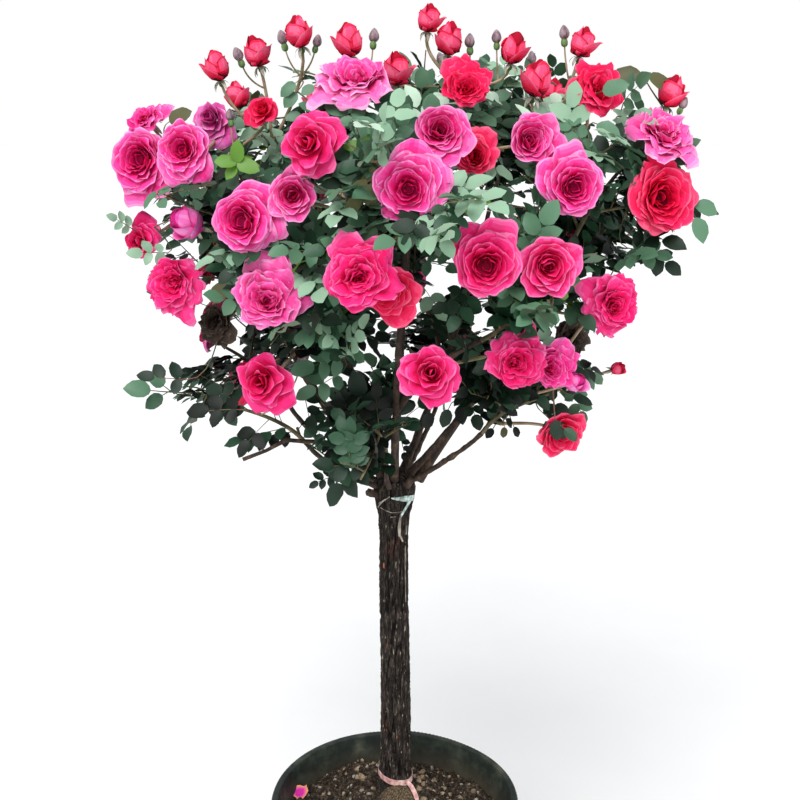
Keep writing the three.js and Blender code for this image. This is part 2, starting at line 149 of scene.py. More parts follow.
world = bpy.data.worlds.new("studio")
world.use_nodes = True
sky_nodes, sky_links = world.node_tree.nodes, world.node_tree.links
sky_place = sky_nodes.new("ShaderNodeTexCoord")
sky_split = sky_nodes.new("ShaderNodeSeparateXYZ")
sky_links.new(sky_place.outputs["Generated"], sky_split.inputs["Vector"])
sky_tone = ramp(sky_nodes, sky_links, sky_split.outputs["Z"], [
    (0.0, (1.0, 1.0, 1.0, 1)),
    (0.12, (1.0, 1.0, 1.0, 1)),
    (0.45, (0.55, 0.56, 0.58, 1)),
    (1.0, (0.62, 0.63, 0.66, 1)),
])
sky_links.new(sky_tone, sky_nodes["Background"].inputs["Color"])
sky_nodes["Background"].inputs["Strength"].default_value = 1.0
scene.world = world

# [name, strength, spread and the direction it comes from]
for name, strength, spread, source in (
    ("key", 2.5, 40, (-0.25, -0.8, 1.0)),
    ("fill", 0.5, 50, (0.9, -0.4, 0.5)),
):
    lamp = new_object(name, bpy.data.lights.new(name, "SUN"))
    lamp.data.energy = strength
    lamp.data.angle = radians(spread)
    lamp.rotation_euler = Vector(source).to_track_quat("Z", "Y").to_euler()

# ---- Pot ----
# A thin nursery pot of dull green-black plastic, moulded in one piece with a turned-down lip.
# Part of the lip is pleated by the mould, the inside is dusty, and the base has four drain holes.

MM = 0.001
POT_HEIGHT, POT_RIM, POT_FOOT = 284, 166, 124
POT_WALL, LIP_WIDTH, LIP_DEPTH = 3, 6, 16
POT_SIDES = 360
PLEATS = 180
PLEAT_DEPTH = 1.3
LINER_STEP = 1.8  # the pleated part of the lip stands this much higher
DRAIN_RADIUS, DRAIN_RING, DRAIN_SIDES = 7, 85, 24
SOIL_MARK = (0.272, 0.236)  # metres up, where soil begins to cling inside and where it covers most


def new_piece(name, points, faces, finish=None, smooth=True):
    """A piece from points in millimetres."""
    mesh = bpy.data.meshes.new(name)
    mesh.from_pydata((np.asarray(points, float) * MM).tolist(), [], faces)
    mesh.polygons.foreach_set("use_smooth", [smooth] * len(mesh.polygons))
    if finish:
        mesh.materials.append(finish)
    return new_object(name, mesh)


def place_on_plant(piece, slot=None, *nodes):
    """Rides a finished piece with the plant, with the CAD nodes that it stands for."""
    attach(piece, "root")
    if nodes:
        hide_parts(*nodes)


def as_built(piece):
    """Turns a piece's modifiers into its plain mesh."""
    bpy.context.view_layer.update()
    built = piece.evaluated_get(bpy.context.evaluated_depsgraph_get())
    mesh = bpy.data.meshes.new_from_object(built)
    piece.modifiers.clear()
    piece.data = mesh
    mesh.name = piece.name
    return piece


def ring_faces(rings, sides, first=0):
    """Quads between rings of points that follow each other."""
    return [
        (
            first + ring * sides + side,
            first + ring * sides + (side + 1) % sides,
            first + (ring + 1) * sides + (side + 1) % sides,
            first + (ring + 1) * sides + side,
        )
        for ring in range(rings - 1)
        for side in range(sides)
    ]


def closed_rings(rings, sides):
    """Faces of a closed turned body: rings of points, then the middles of its two ends."""
    faces, top = ring_faces(rings, sides), (rings - 1) * sides
    for side in range(sides):
        follow = (side + 1) % sides
        faces += [(rings * sides, follow, side), (rings * sides + 1, top + side, top + follow)]
    return faces


def smooth(value, low, high):
    """A share from 0 to 1 between low and high that starts and ends softly."""
    share = min(1, max(0, (value - low) / (high - low)))
    return share * share * (3 - 2 * share)


lip_bottom, body_radius = POT_HEIGHT - LIP_DEPTH, POT_RIM - LIP_WIDTH


def pot_inner_radius(height):
    return POT_FOOT + (body_radius - POT_FOOT) * height / POT_HEIGHT - POT_WALL


pot_profile = [
    (POT_FOOT - 40, 0), (POT_FOOT - 4, 0), (POT_FOOT - 1.2, 1.2), (POT_FOOT, 4),
    (POT_FOOT + 12, 92), (POT_FOOT + 24, 185), (body_radius - 2.6, lip_bottom - 6),
    (body_radius - 1.6, lip_bottom - 0.8), (POT_RIM - 2.2, lip_bottom), (POT_RIM - 1, lip_bottom + 1.2),
    (POT_RIM - 0.5, POT_HEIGHT - 9), (POT_RIM, POT_HEIGHT - 3), (POT_RIM - 0.8, POT_HEIGHT - 0.9),
    (POT_RIM - 2.4, POT_HEIGHT), (pot_inner_radius(POT_HEIGHT) + 1.6, POT_HEIGHT),
    (pot_inner_radius(POT_HEIGHT) + 0.4, POT_HEIGHT - 0.8), (pot_inner_radius(POT_HEIGHT), POT_HEIGHT - 3),
    *((pot_inner_radius(height), height) for height in (250, 180, 90, POT_WALL)), (POT_FOOT - 40, POT_WALL),
]
pot_points = []
for radius, height in pot_profile:
    near_rim = min(1, max(0, (height - 120) / 160))
    is_lip_outside = height > lip_bottom + 1 and radius > POT_RIM - 3
    for side in range(POT_SIDES):
        angle = 2 * pi * side / POT_SIDES
        warp = near_rim * (0.9 * sin(2 * angle + 0.6) + 0.35 * sin(5 * angle))
        pleated = max(0, cos(angle - 0.5)) ** 0.5 if is_lip_outside else 0
        pleat = -PLEAT_DEPTH * pleated * (0.5 + 0.5 * cos(PLEATS * angle))
        sag = near_rim * (0.8 * sin(3 * angle + 1) + 3.6 * max(0, -cos(angle + 0.65)))
        reach = radius + warp + pleat
        # The pleated part runs from the right side to just past the back, where it ends in a step.
        swing = (angle + 0.9) % (2 * pi)
        raised = smooth(swing, 0, 0.25) * smooth(2.5 - swing, 0, 0.03) * (height > POT_HEIGHT - 4)
        crest = raised * (LINER_STEP + 0.8 * cos(PLEATS * angle))
        pot_points.append((reach * cos(angle), reach * sin(angle), height + sag * (height > 20) + crest))
pot_points += [(0, 0, 0), (0, 0, POT_WALL)]


def mix_colours(nodes, links, factor, first, second):
    """Two colours, each plain or from a node, mixed by a factor."""
    blend = nodes.new("ShaderNodeMix")
    blend.data_type = "RGBA"
    links.new(factor, blend.inputs["Factor"])
    for socket, colour in zip((blend.inputs["A"], blend.inputs["B"]), (first, second)):
        if isinstance(colour, tuple):
            socket.default_value = colour
        else:
            links.new(colour, socket)
    return blend.outputs["Result"]


def threshold(nodes, links, factor, low, high, top=1.0):
    """A factor that climbs from 0 at low to its top at high."""
    spread = nodes.new("ShaderNodeMapRange")
    for label, value in (("From Min", low), ("From Max", high), ("To Max", top)):
        spread.inputs[label].default_value = value
    links.new(factor, spread.inputs["Value"])
    return spread.outputs["Result"]


pot_finish, nodes, links, shader = new_finish("dull_green_black_plastic", 0.6, 0.4)
dust = speckle(nodes, links, 26, 8, roughness=0.6)
dust_tone = ramp(nodes, links, dust, [
    (0.34, paint(22, 28, 25)),
    (0.50, paint(34, 42, 37)),
    (0.62, paint(58, 64, 54)),
    (0.80, paint(100, 100, 84)),
])
# Fine brown soil clings to the wall where the pot is filled.
height_of = nodes.new("ShaderNodeSeparateXYZ")
links.new(nodes.new("ShaderNodeTexCoord").outputs["Object"], height_of.inputs["Vector"])
clinging = nodes.new("ShaderNodeMath")
clinging.operation = "MULTIPLY"
links.new(threshold(nodes, links, height_of.outputs["Z"], *SOIL_MARK, 0.8), clinging.inputs[0])
links.new(speckle(nodes, links, 34, 6), clinging.inputs[1])
soiled = mix_colours(nodes, links, clinging.outputs[0], dust_tone, paint(96, 84, 66))
links.new(soiled, shader.inputs["Base Color"])
wear = ramp(nodes, links, speckle(nodes, links, 90, 3), [
    (0.3, (0.42, 0.42, 0.42, 1)), (0.7, (0.8, 0.8, 0.8, 1)),
])
links.new(wear, shader.inputs["Roughness"])
roughen(nodes, links, shader, dust, 0.0006)

pot = new_piece("pot_shell", pot_points, closed_rings(len(pot_profile), POT_SIDES), pot_finish)
drill_points, drill_faces = [], []
for quarter in range(4):
    first = len(drill_points)
    across, along = DRAIN_RING * cos(quarter * pi / 2), DRAIN_RING * sin(quarter * pi / 2)
    for height in (-6, 9):
        for side in range(DRAIN_SIDES):
            angle = 2 * pi * side / DRAIN_SIDES
            edge = (DRAIN_RADIUS * cos(angle), DRAIN_RADIUS * sin(angle))
            drill_points.append((across + edge[0], along + edge[1], height))
    drill_faces += ring_faces(2, DRAIN_SIDES, first)
    drill_faces.append(tuple(first + side for side in reversed(range(DRAIN_SIDES))))
    drill_faces.append(tuple(first + DRAIN_SIDES + side for side in range(DRAIN_SIDES)))
drill = new_piece("drain_drill", drill_points, drill_faces)
cut = pot.modifiers.new("drain_holes", "BOOLEAN")
cut.operation = "DIFFERENCE"
cut.object = drill
as_built(pot)
bpy.data.objects.remove(drill)
place_on_plant(pot, "pot_plastic", "pot")

# ---- Soil ----
# Dark loam, mounded round the trunk's foot, with crumbs, tan clods and pale pebbles lying on it,
# a heap of finer soil against the trunk and a petal that has dropped from the crown.

TRUNK_X, TRUNK_Y = 0, 45
SOIL_LEVEL, SOIL_CREST, SEAT_RADIUS, MOUND_SHARE = 240, 275, 30, 0.7
SOIL_FLOOR = POT_WALL + 0.3
SOIL_SPOKES, SOIL_RINGS = 160, 44
SOIL_PLAY = 1.6  # between the soil and the pot's wall
SLOPE = (-48, 96, 62, 50, 19)  # soil banked up behind the trunk: middle, half widths and height
HEAP = (7, 13, 50, 37, 30)  # finer soil: middle, half width, half depth and height
HEAP_RINGS, HEAP_SIDES, HEAP_FOOT = 13, 48, 5
FALLEN_GRID = 7


def chance(n):
    """A number from 0 to 1 that is always the same for the same n."""
    return (sin(n * 12.9898) * 43758.5453) % 1


def soil_top(share, angle):
    """A point of the bare mound: share 0 is the edge of the trunk's seat and 1 the pot's wall."""
    wall_radius = pot_inner_radius(SOIL_LEVEL) - SOIL_PLAY
    radius = SEAT_RADIUS + (wall_radius - SEAT_RADIUS) * share
    fall = cos(min(1, max(0, share) / MOUND_SHARE) * pi) * 0.5 + 0.5
    lean = 1 - max(0, share)
    return Vector((
        radius * cos(angle) + TRUNK_X * lean,
        radius * sin(angle) + TRUNK_Y * lean,
        SOIL_LEVEL + (SOIL_CREST - SOIL_LEVEL) * fall,
    ))


soil_points, soil_open = [], []
seat_share = -SEAT_RADIUS / (pot_inner_radius(SOIL_LEVEL) - SOIL_PLAY - SEAT_RADIUS)
soil_shares = [seat_share * 0.6, seat_share * 0.25]
soil_shares += [ring / (SOIL_RINGS - 3) for ring in range(SOIL_RINGS - 2)]
for share in soil_shares:
    for spoke in range(SOIL_SPOKES):
        point = soil_top(share, 2 * pi * spoke / SOIL_SPOKES)
        if share > 0:
            lump = noise.fractal(point * 0.035, 0.8, 2.1, 5) * 5.5 + abs(noise.noise(point * 0.13)) * 3.2
            off_x, off_y = (point.x - SLOPE[0]) / SLOPE[2], (point.y - SLOPE[1]) / SLOPE[3]
            point.z += lump * min(1, share * 9) - 1.6
            point.z += SLOPE[4] * exp(-off_x**2 - off_y**2)
        soil_points.append(point)
        soil_open.append(1.0 if share > 0.01 else 0.0)
side_rows = [soil_top(1, 0).z * 0.66, soil_top(1, 0).z * 0.33, SOIL_FLOOR]
for height in side_rows:
    radius = pot_inner_radius(height) - SOIL_PLAY
    for spoke in range(SOIL_SPOKES):
        angle = 2 * pi * spoke / SOIL_SPOKES
        soil_points.append(Vector((radius * cos(angle), radius * sin(angle), height)))
        soil_open.append(0.0)
soil_rings = len(soil_shares) + len(side_rows)
soil_faces = [tuple(reversed(face)) for face in closed_rings(soil_rings, SOIL_SPOKES)]
soil_points += [Vector((TRUNK_X, TRUNK_Y, SOIL_CREST)), Vector((0, 0, SOIL_FLOOR))]
soil_open += [0.0, 0.0]


def grained_finish(name, stops, scale, detail, depth, roughness, specular, stretch=(1, 1, 1), coarse=0.55):
    """A finish whose colour, from stops of (share, red, green, blue), and relief follow one grain."""
    finish, nodes, links, shader = new_finish(name, roughness, specular)
    grain = speckle(nodes, links, scale, detail, stretch, coarse)
    tone = ramp(nodes, links, grain, [(share, paint(*colour)) for share, *colour in stops])
    links.new(tone, shader.inputs["Base Color"])
    roughen(nodes, links, shader, grain, depth)
    return finish


def earthy_finish(name, dark, middle, light, grain=160):
    stops = ((0.32, *dark), (0.5, *middle), (0.72, *light))
    return grained_finish(name, stops, grain, 8, 0.0015, 0.95, 0.15, coarse=0.7)


loam_finish = earthy_finish("dark_loam", (17, 13, 11), (48, 40, 33), (116, 101, 84), 210)
tan_finish = earthy_finish("tan_clay", (78, 66, 52), (134, 117, 94), (196, 176, 146))
pebble_finish = earthy_finish("pale_pebble", (88, 82, 74), (140, 133, 121), (196, 188, 174), 90)
sand_finish = earthy_finish("fine_sandy_soil", (24, 19, 14), (78, 65, 50), (164, 144, 116), 480)

soil = new_piece("soil_mound", soil_points, soil_faces, loam_finish)
soil.data.attributes.new("open_soil", "FLOAT", "POINT").data.foreach_set("value", soil_open)


def clod(name, seed, flat=0.7):
    """A rounded lump of twenty flat faces, one unit across."""
    lump = bmesh.new()
    bmesh.ops.create_icosphere(lump, subdivisions=1, radius=0.5)
    for vertex in lump.verts:
        vertex.co *= 0.75 + 0.5 * chance(seed * 41 + vertex.index)
        vertex.co.z *= flat
    mesh = bpy.data.meshes.new(name)
    lump.to_mesh(mesh)
    lump.free()
    return bpy.data.objects.new(name, mesh)


def new_tree(name, *inputs):
    """A Geometry Nodes tree with named inputs, and the calls that add and wire its nodes."""
    tree = bpy.data.node_groups.new(name, "GeometryNodeTree")
    for label, kind in (("Geometry", "Geometry"), *inputs):
        tree.interface.new_socket(label, in_out="INPUT", socket_type=f"NodeSocket{kind}")
    tree.interface.new_socket("Geometry", in_out="OUTPUT", socket_type="NodeSocketGeometry")

    def wire(*runs):
        for source, leaving, target, entering in runs:
            tree.links.new(source.outputs[leaving], target.inputs[entering])

    return tree, tree.nodes.new, wire


def scattering_tree():
    """Lays shapes on a surface: a density, the smallest and largest size, a seed and a finish."""
    tree, add, wire = new_tree(
        "scatter_on_surface", ("Shapes", "Collection"), ("Density", "Float"), ("Smallest", "Float"),
        ("Largest", "Float"), ("Seed", "Int"), ("Finish", "Material"),
    )
    given, result = add("NodeGroupInput"), add("NodeGroupOutput")
    openness = add("GeometryNodeInputNamedAttribute")
    openness.data_type = "FLOAT"
    openness.inputs["Name"].default_value = "open_soil"
    thin, squared = add("ShaderNodeMath"), add("ShaderNodeMath")
    thin.operation, squared.operation = "MULTIPLY", "POWER"
    squared.inputs[1].default_value = 2.2
    scatter, size = add("GeometryNodeDistributePointsOnFaces"), add("ShaderNodeMapRange")
    kit, stand = add("GeometryNodeCollectionInfo"), add("GeometryNodeInstanceOnPoints")
    kit.inputs["Separate Children"].default_value = True
    stand.inputs["Pick Instance"].default_value = True
    turn, draw = add("FunctionNodeRandomValue"), add("FunctionNodeRandomValue")
    turn.data_type, draw.data_type = "FLOAT_VECTOR", "FLOAT"
    turn.inputs["Max"].default_value = (6.28, 6.28, 6.28)
    spin = add("FunctionNodeEulerToRotation")
    real, colour = add("GeometryNodeRealizeInstances"), add("GeometryNodeSetMaterial")
    wire(
        (given, "Geometry", scatter, "Mesh"), (openness, "Attribute", thin, 0), (given, "Density", thin, 1),
        (thin, 0, scatter, "Density"), (given, "Seed", scatter, "Seed"), (given, "Seed", turn, "Seed"),
        (given, "Seed", draw, "Seed"), (given, "Shapes", kit, "Collection"),
        (scatter, "Points", stand, "Points"), (kit, "Instances", stand, "Instance"),
        (turn, "Value", spin, "Euler"), (spin, "Rotation", stand, "Rotation"), (draw, 1, squared, 0),
        (squared, 0, size, "Value"), (given, "Smallest", size, "To Min"), (given, "Largest", size, "To Max"),
        (size, "Result", stand, "Scale"),
        (stand, "Instances", real, "Geometry"), (real, "Geometry", colour, "Geometry"),
        (given, "Finish", colour, "Material"), (colour, "Geometry", result, "Geometry"),
    )
    return tree


def set_inputs(modifier, values):
    """Sets a Geometry Nodes modifier's named inputs through their identifiers."""
    for item in modifier.node_group.interface.items_tree:
        if item.in_out == "INPUT" and item.name in values:
            modifier[item.identifier] = values[item.name]


scatter_tree = scattering_tree()
clods = bpy.data.collections.new("clod_shapes")
for seed in range(4):
    clods.objects.link(clod(f"clod_{seed}", seed))
for name, finish, density, smallest, largest, seed in (
    ("soil_crumbs", loam_finish, 24000, 2.5, 11.0, 3),
    ("tan_clods", tan_finish, 4200, 2.0, 12.0, 11),
    ("pale_pebbles", pebble_finish, 3600, 1.6, 8.5, 7),
):
    loose = new_object(name, soil.data.copy())
    modifier = loose.modifiers.new("scatter", "NODES")
    modifier.node_group = scatter_tree
    set_inputs(modifier, {
        "Shapes": clods, "Density": float(density), "Smallest": smallest * MM, "Largest": largest * MM,
        "Seed": seed, "Finish": finish,
    })
    place_on_plant(as_built(loose), "potting_soil")
place_on_plant(soil, "potting_soil", "soil")

# A heap of finer soil that was tipped against the front of the trunk's foot.
heap_points = []
for ring in range(HEAP_RINGS):
    share = 1 - ring / (HEAP_RINGS - 1)
    for side in range(HEAP_SIDES):
        angle = 2 * pi * side / HEAP_SIDES
        place = Vector((HEAP[0] + HEAP[2] * share * cos(angle), HEAP[1] + HEAP[3] * share * sin(angle), 0))
        base = SOIL_LEVEL + 28 * smooth(1 - (place - Vector((TRUNK_X, TRUNK_Y, 0))).length / 92, 0, 1)
        rough = noise.fractal(place * 0.14, 0.8, 2.1, 5) * 3.2 * (0.35 + 0.65 * share)
        place.z = base - HEAP_FOOT + (HEAP_FOOT + HEAP[4]) * (1 - share * share) ** 1.4 + rough
        heap_points.append(place)
heap_faces = ring_faces(HEAP_RINGS, HEAP_SIDES)
heap_faces += [(len(heap_points), (side + 1) % HEAP_SIDES, side) for side in range(HEAP_SIDES)]
heap_points.append(Vector((HEAP[0], HEAP[1], SOIL_LEVEL - 4)))
place_on_plant(new_piece("soil_heap", heap_points, heap_faces, sand_finish), "potting_soil")
for shape in list(clods.objects):
    bpy.data.objects.remove(shape)
bpy.data.collections.remove(clods)

# A petal that has dropped on the soil, drying to orange at its rim.
petal_points, petal_rims = [], []
for row in range(FALLEN_GRID):
    for column in range(FALLEN_GRID):
        along, across = row / 3 - 1, column / 3 - 1
        shape = 1 - 0.25 * abs(along * across)
        lift = 6 * along + 4 * across * across + 1.5 * sin(4 * across + 2 * along)
        petal_points.append((-134 + 12 * across * shape, 60 + 7 * along * shape, 252 + lift))
        petal_rims.append(max(abs(along), abs(across)) ** 2)
corners = [row * FALLEN_GRID + column for row in range(FALLEN_GRID - 1) for column in range(FALLEN_GRID - 1)]
petal_faces = [(c, c + 1, c + FALLEN_GRID + 1, c + FALLEN_GRID) for c in corners]
fallen_finish, nodes, links, shader = new_finish("drying_petal", 0.6, 0.2)
rim_of = nodes.new("ShaderNodeAttribute")
rim_of.attribute_name = "rim"
links.new(ramp(nodes, links, rim_of.outputs["Fac"], [
    (0.2, paint(200, 24, 150)), (0.6, paint(222, 120, 130)), (1.0, paint(226, 160, 88)),
]), shader.inputs["Base Color"])
fallen = new_piece("fallen_petal", petal_points, petal_faces, fallen_finish)
fallen.data.attributes.new("rim", "FLOAT", "POINT").data.foreach_set("value", petal_rims)
place_on_plant(fallen, "foliage")

# ---- Trunk ----
# One straight old stem of the rootstock, with dark bark split into long plates, pale lichen in
# flecks, and the swollen graft union at its head.

TRUNK_FOOT = SOIL_CREST + 0.3
TRUNK_PROFILE = [
    (0, 25), (10, 22.5), (35, 20.3), (120, 19.4), (210, 18.6), (300, 18.1),
    (380, 17.8), (405, 20), (425, 24.6), (442, 26.4), (455, 23.5), (464, 14),
]
TRUNK_SIDES, TRUNK_RINGS = 150, 320
PLATE_DEPTH, STRIP_DEPTH, GRAIN_DEPTH = 1.9, 1.3, 0.8
FLAKES = 260
UP = Vector((0, 0, 1))


def trunk_bend(height):
    """How far the stem leans to the right at a height over its foot."""
    return 1.2 * sin(height * 0.014)


def bark_relief(angle, height):
    """How far the bark stands out, from 0 in a furrow to 1 on a plate, and its finer grain."""
    across = Vector((cos(angle), sin(angle), 0))
    wander = 0.5 * noise.noise(across * 1.5 + Vector((3, 1, height * 0.02)))
    broad = noise.noise(across * (2.6 + wander) + Vector((0, 0, height * 0.011)))
    narrow = noise.noise(across * 7.5 + Vector((7, wander, height * 0.035)))
    grain = noise.fractal(across * 13 + Vector((0, 5, height * 0.12)), 0.6, 2.2, 4)
    return smooth(abs(broad), 0.0, 0.16), smooth(abs(narrow), 0.0, 0.2), grain


trunk_heights = np.linspace(0, TRUNK_PROFILE[-1][0], TRUNK_RINGS)
profile_heights, profile_radii = zip(*TRUNK_PROFILE)
trunk_points, trunk_relief = [], []
for height in trunk_heights:
    radius = float(np.interp(height, profile_heights, profile_radii))
    fade = smooth(TRUNK_PROFILE[-1][0] - height, 0, 14)
    for side in range(TRUNK_SIDES):
        angle = 2 * pi * side / TRUNK_SIDES
        plate, strip, grain = bark_relief(angle, height)
        relief = (plate - 0.75) * PLATE_DEPTH + (strip - 0.7) * STRIP_DEPTH + grain * GRAIN_DEPTH
        reach = radius + relief * (0.35 + 0.65 * fade) * (0.6 + 0.4 * smooth(height, 0, 20))
        east = TRUNK_X + trunk_bend(height) + reach * cos(angle)
        trunk_points.append((east, TRUNK_Y + reach * sin(angle), TRUNK_FOOT + height))
        trunk_relief.append(min(1, max(0, plate * 0.6 + strip * 0.3 + grain * 0.5)))
trunk_points += [(TRUNK_X, TRUNK_Y, TRUNK_FOOT), (TRUNK_X, TRUNK_Y, TRUNK_FOOT + TRUNK_PROFILE[-1][0] + 2)]
trunk_relief += [0.0, 0.5]

bark_finish, nodes, links, shader = new_finish("old_rose_bark", 0.92, 0.2)
depth_of = nodes.new("ShaderNodeAttribute")
depth_of.attribute_name = "relief"
bark_grain = speckle(nodes, links, 260, 9, (1, 1, 0.2), 0.75)
patches = speckle(nodes, links, 20, 5, (1, 1, 0.45))
plate_tone = ramp(nodes, links, bark_grain, [
    (0.36, paint(15, 13, 12)), (0.5, paint(44, 38, 34)), (0.6, paint(80, 71, 64)),
    (0.72, paint(146, 134, 118)),
])
rusty = mix_colours(nodes, links, threshold(nodes, links, patches, 0.6, 0.76), plate_tone, paint(78, 46, 36))
lichen = speckle(nodes, links, 330, 3, (1, 1, 0.24), 0.5)
flecked = mix_colours(nodes, links, threshold(nodes, links, lichen, 0.66, 0.7), rusty, paint(172, 166, 146))
scrapes = speckle(nodes, links, 150, 3, (1, 1, 0.2), 0.5)
fresh = mix_colours(nodes, links, threshold(nodes, links, scrapes, 0.71, 0.75), flecked, paint(190, 112, 84))
# The furrows between the plates are painted near-black: painted shade in the bark's recesses.
raised = threshold(nodes, links, depth_of.outputs["Fac"], 0.3, 0.9)
links.new(mix_colours(nodes, links, raised, paint(8, 6, 5), fresh), shader.inputs["Base Color"])
roughen(nodes, links, shader, bark_grain, 0.0016, 0.8)

trunk = new_piece("trunk_bark", trunk_points, closed_rings(TRUNK_RINGS, TRUNK_SIDES), bark_finish)
trunk.data.attributes.new("relief", "FLOAT", "POINT").data.foreach_set("value", trunk_relief)
place_on_plant(trunk, "bark", "trunk")


def set_out_tree(name, finishes):
    """Stands shapes at points that carry a turn, a size and a shape, and colours them by shade."""
    tree, add, wire = new_tree(
        name, ("Shapes", "Collection"), *((f"Finish {k}", "Material") for k in range(finishes)),
    )
    given, result = add("NodeGroupInput"), add("NodeGroupOutput")
    marks = {}
    for label, kind in (("turn", "QUATERNION"), ("size", "FLOAT_VECTOR"), ("shape", "INT"), ("shade", "INT")):
        marks[label] = add("GeometryNodeInputNamedAttribute")
        marks[label].data_type = kind
        marks[label].inputs["Name"].default_value = label
    kit, stand = add("GeometryNodeCollectionInfo"), add("GeometryNodeInstanceOnPoints")
    kit.inputs["Separate Children"].default_value = True
    stand.inputs["Pick Instance"].default_value = True
    last = add("GeometryNodeRealizeInstances")
    wire(
        (given, "Geometry", stand, "Points"), (given, "Shapes", kit, "Collection"),
        (kit, "Instances", stand, "Instance"), (marks["shape"], "Attribute", stand, "Instance Index"),
        (marks["turn"], "Attribute", stand, "Rotation"), (marks["size"], "Attribute", stand, "Scale"),
        (stand, "Instances", last, "Geometry"),
    )
    for k in range(finishes):
        alike, colour = add("FunctionNodeCompare"), add("GeometryNodeSetMaterial")
        alike.data_type = "INT"
        alike.operation = "EQUAL"
        alike.inputs[3].default_value = k
        wire(
            (marks["shade"], "Attribute", alike, 2), (last, "Geometry", colour, "Geometry"),
            (alike, "Result", colour, "Selection"), (given, f"Finish {k}", colour, "Material"),
        )
        last = colour
    wire((last, "Geometry", result, "Geometry"))
    return tree


set_out_trees = {}


def set_out(name, spots, shapes, finishes):
    """One piece of copies. A spot is (place in mm, turn, size as three numbers, shape)."""
    if len(finishes) not in set_out_trees:
        set_out_trees[len(finishes)] = set_out_tree(f"set_out_{len(finishes)}", len(finishes))
    stand = bpy.data.meshes.new(name)
    stand.from_pydata([tuple(Vector(place) * MM) for place, _, _, _ in spots], [], [])
    for label, kind, field, values in (
        ("turn", "QUATERNION", "value", [c for _, turn, _, _ in spots for c in turn]),
        ("size", "FLOAT_VECTOR", "vector", [c * MM for _, _, size, _ in spots for c in size]),
        ("shape", "INT", "value", [shape for _, _, _, shape in spots]),
    ):
        stand.attributes.new(label, kind, "POINT").data.foreach_set(field, values)
    kit = bpy.data.collections.new(f"{name}_kit")
    for k, (points, faces, shades) in enumerate(shapes):
        mesh = bpy.data.meshes.new(f"{name}_shape_{k}")
        mesh.from_pydata([tuple(p) for p in points], [], faces)
        mesh.polygons.foreach_set("use_smooth", [True] * len(faces))
        mesh.attributes.new("shade", "INT", "FACE").data.foreach_set("value", shades)
        kit.objects.link(bpy.data.objects.new(f"{name}_shape_{k}", mesh))
    piece = new_object(name, stand)
    modifier = piece.modifiers.new("set_out", "NODES")
    modifier.node_group = set_out_trees[len(finishes)]
    set_inputs(modifier, {"Shapes": kit, **{f"Finish {k}": f for k, f in enumerate(finishes)}})
    as_built(piece)
    for shape in list(kit.objects):
        bpy.data.objects.remove(shape)
    bpy.data.collections.remove(kit)
    return piece


def turned_to(forward, normal):
    """The turn that brings a shape's +X to forward and its +Z as near as can be to normal."""
    forward = forward.normalized()
    across = normal.cross(forward).normalized()
    upright = forward.cross(across)
    return Matrix((forward, across, upright)).transposed().to_quaternion()


# Loose strips of bark that have begun to peel: thin curved slips, each held at its middle.
def slip(bend):
    """A strip of bark one unit long that lifts off at both ends, closed all round."""
    points, faces = [], []
    for k in range(5):
        along = k / 4 - 0.5
        width = 0.5 * (1 - (2 * along) ** 4 * 0.7)
        lift = bend * (2 * along) ** 2
        points += [(along, -width, lift), (along, width, lift)]
        points += [(along, width, lift - 0.25), (along, -width, lift - 0.25)]
    for k in range(4):
        faces += [tuple(k * 4 + c for c in (j, 4 + j, 4 + (j + 1) % 4, (j + 1) % 4)) for j in range(4)]
    faces += [(0, 1, 2, 3), (19, 18, 17, 16)]
    faces = [tuple(reversed(face)) for face in faces]
    return points, faces, [0] * len(faces)


flake_spots = []
for k in range(FLAKES):
    angle, height = 2 * pi * chance(k + 3), 14 + 400 * chance(k * 7 + 1)
    radius = float(np.interp(height, profile_heights, profile_radii))
    out = Vector((cos(angle), sin(angle), 0))
    length = 9 + 22 * chance(k * 5 + 2)
    lean = Vector((0.12 * (chance(k * 3) - 0.5), 0.12 * (chance(k * 9) - 0.5), 1))
    middle = Vector((TRUNK_X + trunk_bend(height), TRUNK_Y, TRUNK_FOOT + height))
    place = middle + out * (radius - 0.1)
    flake_spots.append((place, turned_to(lean, out), (length, 1.4 + 2.6 * chance(k * 13), 2.6), k % 3))
flakes = set_out("bark_strips", flake_spots, [slip(0.12), slip(0.3), slip(0.5)], [bark_finish])
flakes_relief = flakes.data.attributes.new("relief", "FLOAT", "POINT")
flakes_relief.data.foreach_set("value", [0.75] * len(flakes.data.vertices))
place_on_plant(flakes, "bark")

# ---- Ties ----
# Strips of clear grafting tape are still stuck to the union, some of it worn down to threads, and
# a flesh-pink plastic tie is wound once round the foot with its end hanging free.

STRIP_THICK = 0.5


def on_trunk(degrees, height, lift=1.8):
    """A place just off the bark, and the way out from it."""
    out = Vector((cos(radians(degrees)), sin(radians(degrees)), 0))
    radius = float(np.interp(height - TRUNK_FOOT, profile_heights, profile_radii)) + lift
    return Vector((TRUNK_X + trunk_bend(height - TRUNK_FOOT), TRUNK_Y, height)) + out * radius, out


def strip(places, widths):
    """A flat closed strip that follows places with their ways out."""
    points = []
    for k, ((place, out), width) in enumerate(zip(places, widths)):
        before, after = places[max(0, k - 1)][0], places[min(len(places) - 1, k + 1)][0]
        across = (after - before).cross(out).normalized() * (width / 2)
        crease = out * (0.5 * noise.noise(place * 0.3))
        points += [
            place - across + crease, place + across + crease,
            place + across + crease + out * STRIP_THICK, place - across + crease + out * STRIP_THICK,
        ]
    faces = [tuple(reversed(face)) for face in ring_faces(len(places), 4)]
    last = 4 * (len(places) - 1)
    faces += [(0, 1, 2, 3), (last + 3, last + 2, last + 1, last)]
    return points, faces


